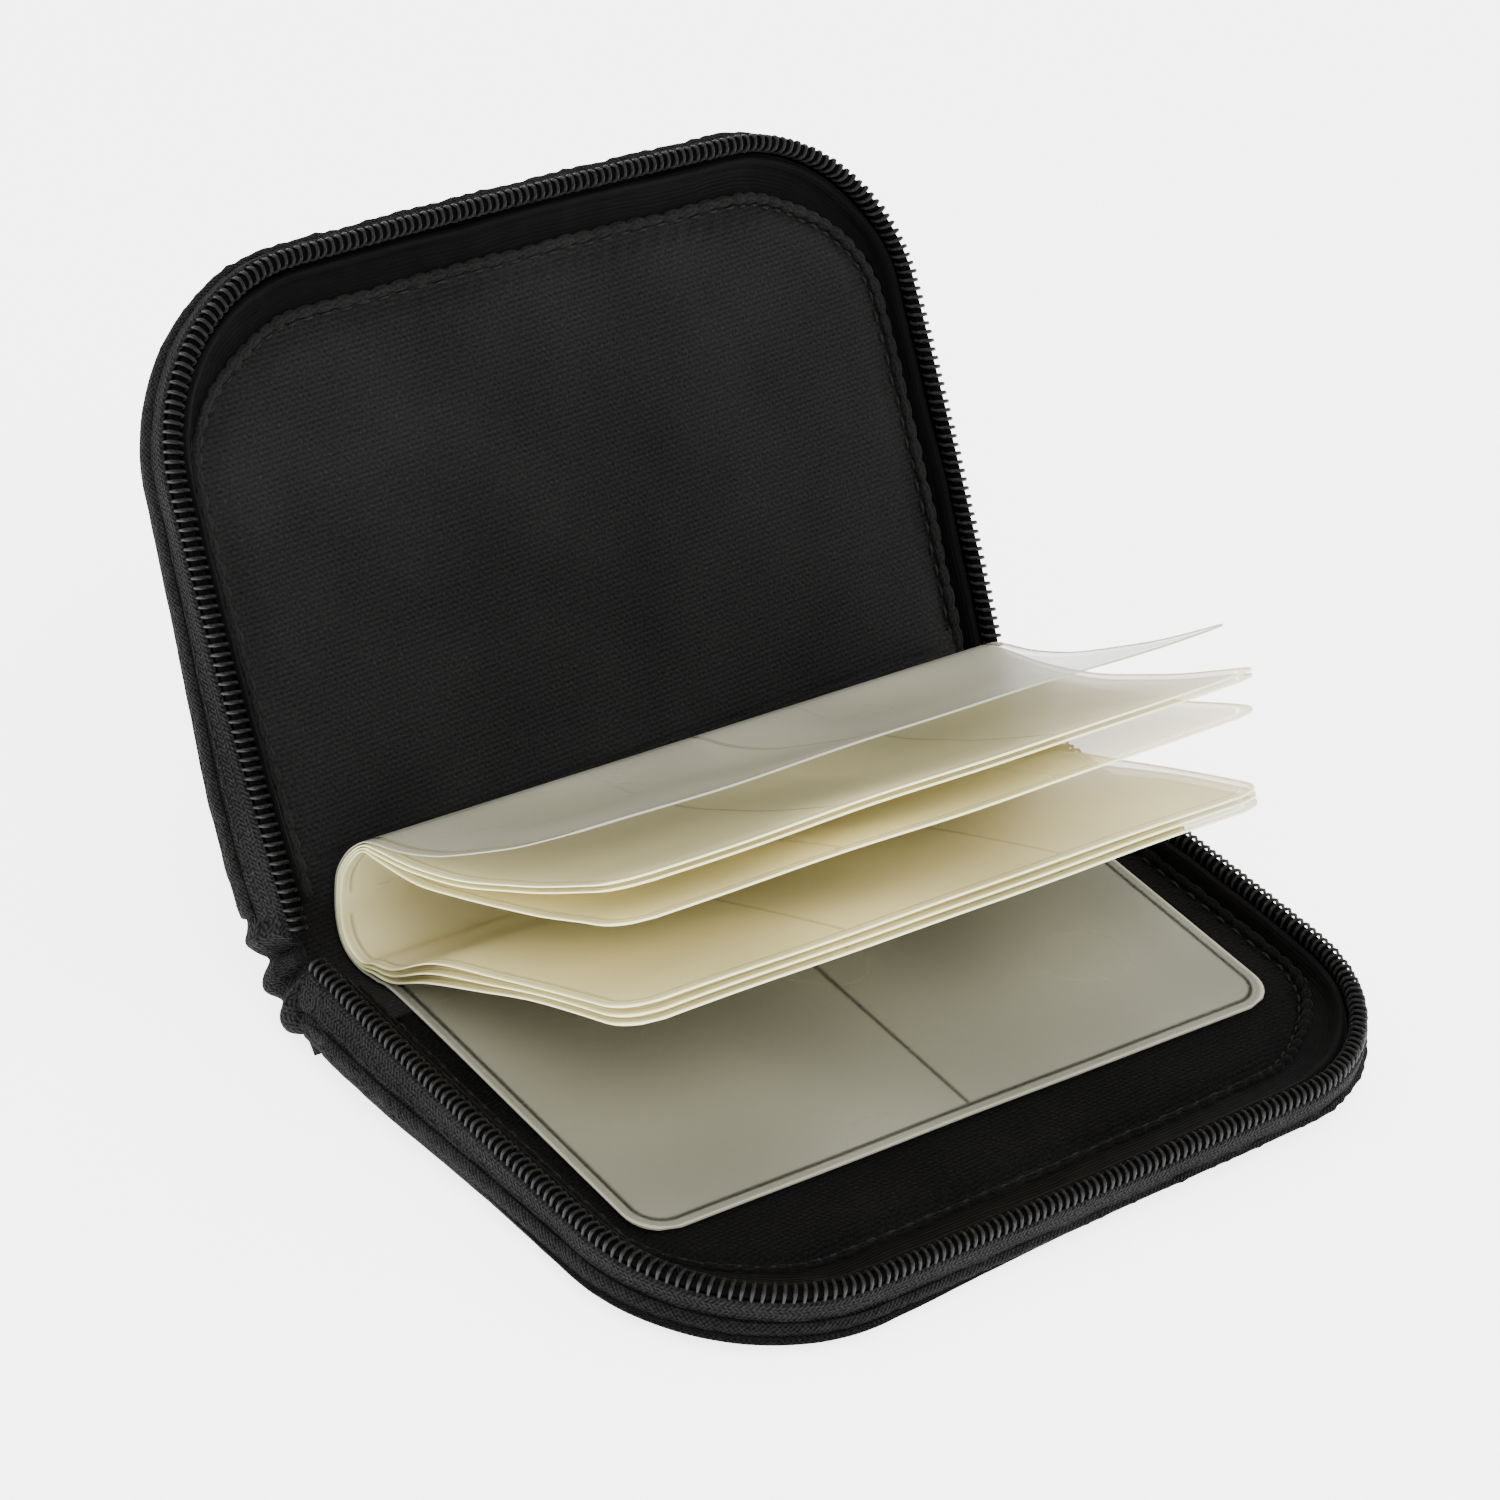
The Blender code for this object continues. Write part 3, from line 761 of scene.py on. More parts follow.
@dataclass(frozen=True)
class PaddedPanel:
    """A panel of padded fabric, swollen by a cloth simulation between the seams that hold it down."""

    rim: RimLine
    seed: float
    sewn: float = 6.5
    pitch: float = 2.0
    pressure: float = 0.3
    slack: float = 0.001
    most: float = 1.5
    steps: int = 20
    solver_scale: float = 0.01

    def swell(self) -> Callable[[Grid, Grid], Grid]:
        """Runs the simulation ten times larger than life, where the solver is steady.

        Returns:
            A function that gives the fabric's height at x and at d from the hinge.
        """
        x = np.arange(-60.0, 60.1, self.pitch)
        d = np.arange(0.0, 84.1, self.pitch)
        over, away = np.meshgrid(x, d, indexing="ij")
        held = np.minimum(self.rim.inset(over, away), away + 2.0) < self.sewn
        start = 0.05 * ripple(over, away, 23.0, self.seed) * ~held
        mesh = bpy.data.meshes.new("panel_cloth")
        rows = len(d)
        faces = [
            (i * rows + j, (i + 1) * rows + j, (i + 1) * rows + j + 1, i * rows + j + 1)
            for i in range(len(x) - 1) for j in range(rows - 1)
        ]
        points = np.stack([over, away, start], axis=-1).reshape(-1, 3) * self.solver_scale
        mesh.from_pydata(points.tolist(), [], faces)
        panel = bpy.data.objects.new("panel_cloth", mesh)
        bpy.context.scene.collection.objects.link(panel)
        panel.vertex_groups.new(name="sewn").add(np.flatnonzero(held).tolist(), 1.0, "REPLACE")
        cloth = panel.modifiers.new("swell", "CLOTH")
        cloth.settings.quality = 5
        cloth.settings.mass = 0.3
        cloth.settings.tension_stiffness = 15.0
        cloth.settings.compression_stiffness = 15.0
        cloth.settings.shear_stiffness = 5.0
        cloth.settings.bending_stiffness = 0.5
        cloth.settings.vertex_group_mass = "sewn"
        cloth.settings.use_pressure = True
        cloth.settings.uniform_pressure_force = self.pressure
        cloth.settings.shrink_min = -self.slack
        cloth.settings.effector_weights.gravity = 0.0
        cloth.collision_settings.use_collision = False
        cloth.point_cache.frame_start, cloth.point_cache.frame_end = 1, self.steps
        for step in range(1, self.steps + 1):
            bpy.context.scene.frame_set(step)
        swollen = panel.evaluated_get(bpy.context.evaluated_depsgraph_get()).data
        places = np.empty(len(mesh.vertices) * 3)
        swollen.vertices.foreach_get("co", places)
        rise = np.clip(places.reshape(len(x), rows, 3)[..., 2] / self.solver_scale, 0.0, self.most)
        bpy.context.scene.frame_set(1)
        bpy.data.objects.remove(panel)
        bpy.data.meshes.remove(mesh)
        LOG.info("panel cloth: swells by %.2f mm at most", rise.max())

        def height(at_x: Grid, at_d: Grid) -> Grid:
            """Height between the simulated points."""
            i = np.clip((at_x - x[0]) / self.pitch, 0, len(x) - 1.001)
            j = np.clip((at_d - d[0]) / self.pitch, 0, rows - 1.001)
            left, low = i.astype(int), j.astype(int)
            a, b = i - left, j - low
            near = rise[left, low] * (1 - b) + rise[left, low + 1] * b
            far = rise[left + 1, low] * (1 - b) + rise[left + 1, low + 1] * b
            return near * (1 - a) + far * a

        return height


@dataclass
class CaseHalf:
    """One half of the case: cover, padded lining, seam, binding, tape and teeth."""

    body: str
    zip_ends: tuple[float, float]
    world: Matrix
    finishes: Finishes
    lining_finish: ClothFinish
    seed: float
    cover_swell: float = 0.0
    lining_swell: float = 0.0
    puff: float = 0.22
    corner_bulge: float = 1.5
    front_lift: float = 1.5
    rim: RimLine = RimLine()
    back: float = 5.0
    lining_back: float = 9.0
    lining_top: float = -4.0
    seam_out: float = -4.9
    seam_bow: float = 3.0
    seam_reach: float = 74.0
    tooth_pitch: float = 1.2

    def stations(self, left: float, right: float, step: float) -> Grid:
        """Lengths along the rim line from one end of a piece to the other.

        Args:
            left: Where the piece starts, from the left end of the hinge line.
            right: Where it ends, from the right end.
            step: Distance between stations.

        Returns:
            The lengths.
        """
        end = self.rim.length - right
        return np.linspace(left, end, int((end - left) / step) + 1)

    def made(
        self, draft: Draft, name: str, finish: ClothFinish | SolidFinish, weld: float = 1e-6
    ) -> bpy.types.Object:
        """Makes a piece of this half in its finish.

        Args:
            draft: Its mesh, in the half's own frame.
            name: Last part of its name.
            finish: Its finish.
            weld: Points closer than this, in metres, are merged.

        Returns:
            The piece.
        """
        return draft.build(f"{self.body}_{name}", self.finishes.get(finish), self.world, weld)

    def bow(self, from_middle: Grid) -> Grid:
        """How much further in the seam stands, at a distance along the rim from the long edge's middle."""
        share = np.clip((self.seam_reach - np.abs(from_middle)) / 28.0, 0, 1)
        return self.seam_bow * share * share * (3 - 2 * share)

    def seam_line(self, s: Grid) -> Grid:
        """Distance of the lining's seam outwards from the rim line."""
        return self.seam_out - self.bow(np.asarray(s) - self.rim.length / 2)

    def belly(self, d: Grid) -> Grid:
        """How far the wall bulges outwards, d from the hinge."""
        return 1.4 * np.exp(-(((np.asarray(d) - 15.0) / 21.0) ** 2))

    def lift(self, x: Grid, d: Grid) -> Grid:
        """How far the cover's floor stands up off the table, at x and d from the hinge."""
        share = np.clip((d - 52.0) / 22.0, 0, 1) * np.clip((x + 30.0) / 40.0, 0, 1)
        return self.front_lift * share * share * (3 - 2 * share)

    def tape_end(self, d: Grid) -> Grid:
        """Height of the tape's visible lower edge, d from the hinge."""
        return -5.9 + 1.1 * np.clip(np.asarray(d) / 70.0, 0, 1)

    def tape_line(self, s: Grid) -> Grid:
        """How far the lower tape stands outwards, less its thickness."""
        d = self.rim.point(s)[..., 1]
        return 0.12 * ripple(s, 0.0, 13.0, self.seed + 7) - 0.6 * np.clip(d / 60.0, 0, 1) + self.belly(d)

    def swelling(self, share: float, seed: float) -> Callable[[Grid, Grid], Grid]:
        """Height of a swollen panel at x and d from the hinge.

        Args:
            share: Share of the height that is used. At 0 nothing is simulated.
            seed: Seed of the panel's first waves.

        Returns:
            The function that gives the height used.
        """
        if not share:
            return lambda x, d: np.zeros_like(x)
        height = PaddedPanel(self.rim, seed).swell()
        return lambda x, d: share * height(x, d)

    def profile(self, s: Grid, rows: list[tuple[Grid | float, Grid | float]]) -> Grid:
        """Profile at every station.

        Args:
            s: Lengths along the rim line.
            rows: The profile's points as u and w, each one number or one for every station.

        Returns:
            Array of stations, points and (u, w).
        """
        return np.stack([np.stack(np.broadcast_arrays(u, w, s)[:2], axis=-1) for u, w in rows], axis=1)

    def swept(self, draft: Draft, s: Grid, profile: Grid) -> None:
        """Adds a closed bar that follows the rim line.

        Args:
            draft: The mesh in the making.
            s: Lengths along the line.
            profile: Array of stations, points and (u, w).
        """
        points = self.rim.place(s[:, None], profile[..., 0], profile[..., 1])
        steps = np.linalg.norm(np.diff(profile, axis=1, append=profile[:, :1]), axis=-1)
        across = np.cumsum(steps, axis=1) - steps
        draft.tube(points, np.stack([np.broadcast_to(s[:, None], across.shape), across], axis=-1))

    def disc(self, outer: Grid, rings: int, height: Callable[[Grid, Grid], Grid]) -> tuple[Grid, Grid]:
        """Rings from an outline in to its middle.

        Args:
            outer: Outline as x and y.
            rings: How many rings.
            height: Gives w from x and y.

        Returns:
            Points and places of the rings, outermost first.
        """
        centre = np.array([0.0, (outer[:, 1].min() + outer[:, 1].max()) / 2])
        inwards = np.linspace(0.0, 1.0, rings)
        flat = outer[None] + (centre - outer)[None] * inwards[:, None, None]
        w = height(flat[..., 0], flat[..., 1])
        return np.concatenate([flat, w[..., None]], axis=-1), flat.copy()

    def make_cover(self) -> bpy.types.Object:
        """The outer shell, with a rolled edge over the tape and a wall that rounds under to the floor.

        Returns:
            The piece.
        """
        s = self.stations(self.back, self.back, 1.1)
        x, d = self.rim.point(s).T
        deep = self.rim.half_depth(d) - self.lift(x, d)
        roll = np.minimum(2.0, 0.5 * (deep - 4.3))
        loose = 0.7 + 1.9 * np.clip(1 - d / 30.0, 0, 1)
        bulge = self.corner_bulge * np.exp(-(((np.hypot(x + 44.0, d - 72.0)) / 22.0) ** 2))
        tuck = 0.85 * np.clip(d / 60.0, 0, 1) - self.belly(d) - bulge * 0.35
        long_wave, short_wave = ripple(s, 0.0, 13.0, self.seed), ripple(s, 0.0, 4.3, self.seed + 2)
        wave = loose * (0.20 * long_wave + 0.13 * short_wave)
        top = self.tape_end(d) + 0.35 + wave * 0.4
        pull = 0.16 * np.cos(TURN * s / 2.6) * loose
        rows = [
            (0.80 - tuck, top - 0.6), (0.95 - tuck, top - 0.1), (1.2 + wave - tuck, top + 0.12),
            (1.5 + wave - tuck, top - 0.1), (1.7 + wave + pull * 0.3 - tuck, top - 0.3 * roll),
            (1.75 + wave + pull - tuck, top - 0.62 * roll),
            (1.6 + 0.7 * wave + pull - tuck, top - 0.9 * roll),
            (1.5 + 0.6 * wave + 0.7 * pull - tuck, top - roll),
            (1.5 + 0.5 * wave - tuck, top - roll * 1.15),
        ]
        start_w = rows[-1][1]
        rise = np.minimum(4.0, deep + start_w)
        foot_out = -2.5
        for turn in np.linspace(0.0, math.pi / 2, 9):
            slack = (0.5 * wave + bulge) * math.cos(turn)
            out = foot_out + (3.9 - tuck) * math.cos(turn) + slack
            rows.append((out, -deep + rise * (1 - math.sin(turn))))
        profile = self.profile(s, rows)
        points = self.rim.place(s[:, None], profile[..., 0], profile[..., 1])
        foot_depth = self.rim.half_depth(-points[:, -1, 1])
        points[:, -1, 2] = self.lift(points[:, -1, 0], -points[:, -1, 1]) - foot_depth
        steps = np.linalg.norm(np.diff(profile, axis=1), axis=-1)
        across = np.concatenate([np.zeros((len(s), 1)), np.cumsum(steps, axis=1)], axis=1)
        draft = Draft()
        draft.grid(points, np.stack([np.broadcast_to(s[:, None], across.shape), across], axis=-1))

        swell = self.swelling(self.cover_swell, self.seed + 1.7)

        def floor(x: Grid, y: Grid) -> Grid:
            """Outside of the panel, swollen on the lid and flat where the base rests."""
            return self.lift(x, -y) - self.rim.half_depth(-y) - swell(x, -y)

        outline = points[:, -1, :2]
        back = np.linspace(outline[-1], outline[0], 60)[1:-1]
        loop = np.concatenate([outline, back, outline[:1]])
        rings, places = self.disc(loop, 24, floor)
        draft.grid(rings, places)
        cover = self.made(draft, "cover_shell", self.finishes.cover, weld=2e-5)
        thickness = cover.modifiers.new("cloth_thickness", "SOLIDIFY")
        thickness.thickness = 0.0006
        thickness.offset = -1.0
        return carry(cover, "cover_fabric", self.body, f"{self.body}_cover")

    def make_lining(self) -> bpy.types.Object:
        """The padded inner panel, sewn down along its edge, from the lining to the cover's floor.

        Returns:
            The piece.
        """
        s = self.stations(self.lining_back, self.lining_back, 1.1)
        outline = self.rim.place(s, -2.0, 0.0)[:, :2]
        back = np.linspace(outline[-1], outline[0], 70)[1:-1]
        loop = np.concatenate([outline, back, outline[:1]])
        top = self.lining_top
        swell = self.swelling(self.lining_swell, self.seed)

        def face(x: Grid, y: Grid) -> Grid:
            """Upper face: dips at the seam, puffs inside it and waves a little."""
            corner_x = np.maximum(np.abs(x) - (self.rim.half_length - self.rim.corner), 0)
            corner_y = np.maximum(-y - self.rim.side, 0)
            flat_x = np.minimum(np.abs(x), self.rim.half_length - self.rim.corner)
            round_corner = self.rim.corner * np.arctan2(corner_x, corner_y + 1e-6)
            edge = self.rim.inset(x, -y)
            edge = edge - self.bow(flat_x + round_corner + np.maximum(self.rim.side + y, 0))
            puff = self.puff * np.exp(-((edge - 9.0) / 3.0) ** 2) - 0.55 * np.exp(-((edge - 5.9) / 0.8) ** 2)
            tucks = 0.22 * np.sin(TURN * (x - y) / 3.1) * np.exp(-((edge - 6.9) / 1.2) ** 2)
            soft = swell(x, -y) * np.clip((edge - 6.0) / 6.0, 0, 1)
            return top + puff + tucks + soft - 0.05

        rings, places = self.disc(loop, 44, face)
        rings[0, :, 2] = top - 0.3
        draft = Draft()
        draft.grid(rings, places)
        under = np.stack([loop[:, 0], loop[:, 1], -self.rim.half_depth(-loop[:, 1]) + 0.9], axis=-1)
        side = np.stack([rings[0], under])
        draft.grid(side, np.stack([places[0], places[0] + 2.0]))
        bottom, bottom_places = self.disc(loop, 3, lambda x, y: 0.9 - self.rim.half_depth(-y))
        draft.grid(bottom, bottom_places)
        lining = self.made(draft, "lining_pad", self.lining_finish, weld=2e-5)
        return carry(lining, "lining_twill", self.body, f"{self.body}_lining", f"{self.body}_core")

    def make_seam(self) -> list[bpy.types.Object]:
        """The gathered seam of the lining, with its stitches.

        Returns:
            The seam and its stitches.
        """
        s = self.stations(self.back + 0.4, self.back + 0.4, 0.45)
        pinch = 0.5 + 0.5 * np.cos(TURN * s / 2.9)
        radius = 0.6 + 0.08 * ripple(s, 0.0, 11.0, self.seed) - 0.24 * pinch**3
        out = self.seam_line(s) + 0.12 * ripple(s, 0.0, 23.0, self.seed + 1)
        ring = np.linspace(0, TURN, 12, endpoint=False)
        u = out[:, None] + radius[:, None] * 1.25 * np.cos(ring)
        w = self.lining_top + 0.42 + radius[:, None] * np.sin(ring)
        draft = Draft()
        self.swept(draft, s, np.stack([u, w], axis=-1))
        seam = self.made(draft, "lining_seam", self.lining_finish)
        carry(seam, "lining_twill", self.body, f"{self.body}_piping")
        low = self.lining_top + 0.1
        return [seam, self.make_stitches("seam_stitches", self.seam_line, -0.95, low, 2.9, 1.9, 0.2)]

    def make_stitches(
        self,
        name: str,
        line: Callable[[Grid], Grid],
        out: float,
        w: float,
        pitch: float,
        run: float,
        radius: float,
    ) -> bpy.types.Object:
        """A row of stitches along the rim line.

        Args:
            name: Last part of the piece's name.
            line: Distance outwards from the rim line, at a length along it.
            out: Further distance outwards.
            w: Height above the rim plane.
            pitch: Distance between stitches.
            run: Length of one stitch.
            radius: Radius of the thread.

        Returns:
            The piece.
        """
        draft = Draft()
        shape = np.array([0.0, 0.75, 1.0, 1.0, 0.75, 0.0])
        ring = np.linspace(0, TURN, 6, endpoint=False)
        for k, start in enumerate(self.stations(self.back + 2.0, self.back + 2.0, pitch)[:-1]):
            s = start + np.linspace(0, run, len(shape))
            thick = np.maximum(radius * shape, 0.02)
            lift = w + radius * (shape - 0.9) + 0.03 * math.sin(3.7 * k)
            u = line(s)[:, None] + out + 0.08 * math.sin(2.3 * k) + thick[:, None] * np.cos(ring)
            profile = np.stack([u, lift[:, None] + thick[:, None] * np.sin(ring)], axis=-1)
            self.swept(draft, s, profile)
        stitches = self.made(draft, name, self.finishes.thread)
        return carry(stitches, "thread", self.body)

    def make_binding(self) -> bpy.types.Object:
        """The satin binding between the teeth and the seam, with a soft fold along it.

        Returns:
            The piece.
        """
        s = self.stations(self.back + 0.2, self.back + 0.2, 0.9)
        fold = ripple(s, 0.0, 31.0, self.seed + 4)
        small = ripple(s, 0.0, 7.0, self.seed + 5)
        inner = self.seam_line(s) + 0.45
        wide = inner + 1.8
        rows = [
            (-0.35, -3.8), (-0.35, -3.4), (-1.2, -3.4), (-2.0, -3.3 + 0.03 * small),
            (-2.3 + 0.05 * fold, -2.4 + 0.1 * fold),
            (-2.6 + 0.1 * fold, -1.85 + 0.2 * fold), (-3.05 + 0.12 * fold, -1.65 + 0.2 * fold + 0.04 * small),
            (-3.5 + 0.1 * fold, -1.9 + 0.15 * fold + 0.05 * small), (-3.8 + 0.1 * fold, -2.6 + 0.08 * small),
            (-3.95 + 0.12 * wide, -3.2 + 0.08 * small), (inner, -3.6), (inner, -3.85),
        ]
        profile = self.profile(s, rows)
        draft = Draft()
        self.swept(draft, s, profile)
        binding = self.made(draft, "satin_binding", self.finishes.binding)
        return carry(binding, "satin_binding", self.body, f"{self.body}_binding")

    def make_tape(self) -> list[bpy.types.Object]:
        """The woven tape outside the teeth, with the row of stitches that holds it to the cover.

        Returns:
            The tape and its stitches.
        """
        s = self.stations(*self.zip_ends, 0.9)
        end = self.tape_end(self.rim.point(s)[:, 1])
        rows = np.array([
            (-0.1, 0.12), (-0.1, 0.0), (0.05, -0.02), (0.25, 0.0), (0.42, 0.08), (0.55, 0.3),
            (0.66, 0.55), (0.74, 0.8), (0.78, 1.05), (0.3, 1.05), (0.2, 0.6), (0.05, 0.3),
        ])
        start = -1.9
        w = start + rows[:, 1] * (end[:, None] - start)
        profile = np.stack([np.broadcast_to(rows[:, 0], w.shape), w], axis=-1)
        share = np.clip((-profile[..., 1] - 2.0) / 3.0, 0, 1)
        profile[..., 0] += self.tape_line(s)[:, None] * share
        draft = Draft()
        self.swept(draft, s, profile)
        tape = self.made(draft, "woven_tape", self.finishes.tape)
        carry(tape, "zip_tape", self.body, f"{self.body}_zip_tape")
        return [tape, self.make_stitches("tape_stitches", self.tape_line, 0.8, -4.3, 2.3, 1.5, 0.13)]

    def make_teeth(self) -> bpy.types.Object:
        """The coil: one thread of plastic that loops over once a tooth, with a swollen head on each loop.

        Returns:
            The piece.
        """
        left, right = self.zip_ends
        count = int((self.rim.length - left - right) / self.tooth_pitch)
        loop = np.array([
            # share of pitch, u, w, half width along the rim, half thickness
            (0.00, -0.10, -2.35, 0.19, 0.20), (0.02, 0.02, -1.70, 0.20, 0.20),
            (0.04, 0.02, -1.05, 0.22, 0.22), (0.08, -0.22, -0.50, 0.27, 0.24),
            (0.13, -0.66, -0.32, 0.28, 0.22), (0.20, -1.26, -0.32, 0.28, 0.22),
            (0.27, -1.70, -0.50, 0.27, 0.24), (0.34, -1.92, -1.05, 0.22, 0.22),
            (0.44, -1.92, -1.70, 0.20, 0.20), (0.54, -1.82, -2.30, 0.19, 0.20),
            (0.68, -1.30, -2.48, 0.17, 0.18), (0.86, -0.66, -2.50, 0.17, 0.18),
        ])
        turns = np.repeat(np.arange(count), len(loop))
        base = np.tile(loop, (count, 1))
        s = left + 0.3 + (turns + base[:, 0]) * self.tooth_pitch
        jitter = 0.05 * np.sin(turns * 2.399) * (base[:, 2] > -1.2)
        u, w = base[:, 1] + jitter, base[:, 2] + 0.04 * np.sin(turns * 1.7)
        ring = np.linspace(0, TURN, 8, endpoint=False)
        tangent = np.stack([np.gradient(u), np.gradient(w)], axis=-1)
        tangent /= np.linalg.norm(tangent, axis=-1, keepdims=True)
        normal = np.stack([tangent[:, 1], -tangent[:, 0]], axis=-1)
        at_s = s[:, None] + base[:, 3:4] * np.cos(ring)
        at_u = u[:, None] + base[:, 4:5] * normal[:, :1] * np.sin(ring)
        at_w = w[:, None] + base[:, 4:5] * normal[:, 1:] * np.sin(ring)
        points = self.rim.place(at_s, at_u, np.minimum(at_w, -0.1))
        draft = Draft()
        draft.tube(points, np.stack([at_s, at_w], axis=-1))
        teeth = self.made(draft, "coil_teeth", self.finishes.teeth)
        return carry(teeth, "zip_coil", self.body, f"{self.body}_zip_teeth")

    def make_cord(self) -> bpy.types.Object:
        """The dark filler cord that the coil is wound round.

        Returns:
            The piece.
        """
        left, right = self.zip_ends
        s = self.stations(left + 0.4, right + 0.6, 0.9)
        ring = np.linspace(0, TURN, 10, endpoint=False)
        u = -0.95 + 0.74 * np.cos(ring) + 0 * s[:, None]
        w = -1.45 + 0.72 * np.sin(ring) + 0 * s[:, None]
        draft = Draft()
        self.swept(draft, s, np.stack([u, w], axis=-1))
        cord = self.made(draft, "coil_cord", self.finishes.cord)
        return carry(cord, "zip_coil", self.body)

    def build(self) -> None:
        """Builds and dresses every piece of the half."""
        self.make_cover()
        self.make_lining()
        self.make_seam()
        self.make_binding()
        self.make_tape()
        self.make_teeth()
        self.make_cord()


def smooth_line(points: list[Point2], parts: int = 10) -> Grid:
    """A smooth line through points.

    Args:
        points: The points.
        parts: Steps between two of them.

    Returns:
        Array of points.
    """
    p = np.array([points[0], *points, points[-1]], float)
    t = np.linspace(0.0, 1.0, parts, endpoint=False)[:, None]
    runs = []
    for a, b, c, d in zip(p, p[1:], p[2:], p[3:]):
        curve = (2 * a - 5 * b + 4 * c - d) * t**2 + (3 * b - a - 3 * c + d) * t**3
        runs.append(0.5 * (2 * b + (c - a) * t + curve))
    return np.concatenate([*runs, p[-1:]])


def evenly(line: Grid, step: float) -> tuple[Grid, Grid]:
    """A line resampled at even steps.

    Args:
        line: Points of the line.
        step: Wanted distance between points.

    Returns:
        The points and their lengths along the line.
    """
    lengths = np.concatenate([[0.0], np.cumsum(np.linalg.norm(np.diff(line, axis=0), axis=1))])
    wanted = np.linspace(0.0, lengths[-1], int(lengths[-1] / step) + 1)
    return np.stack([np.interp(wanted, lengths, line[:, k]) for k in range(line.shape[1])], axis=-1), wanted


def normals_of(line: Grid) -> Grid:
    """Unit normals of a plane line, to the left of its run."""
    tangent = np.gradient(line, axis=0)
    tangent /= np.linalg.norm(tangent, axis=1, keepdims=True)
    return np.stack([-tangent[:, 1], tangent[:, 0]], axis=-1)


@dataclass(frozen=True)
class SheetShape:
    """Section of one folded film sheet: its two leaves, its depth in the fold and how it waves."""

    node: str
    name: str
    inset: int
    lower: tuple[Point2, ...]
    upper: tuple[Point2, ...]
    seed: float


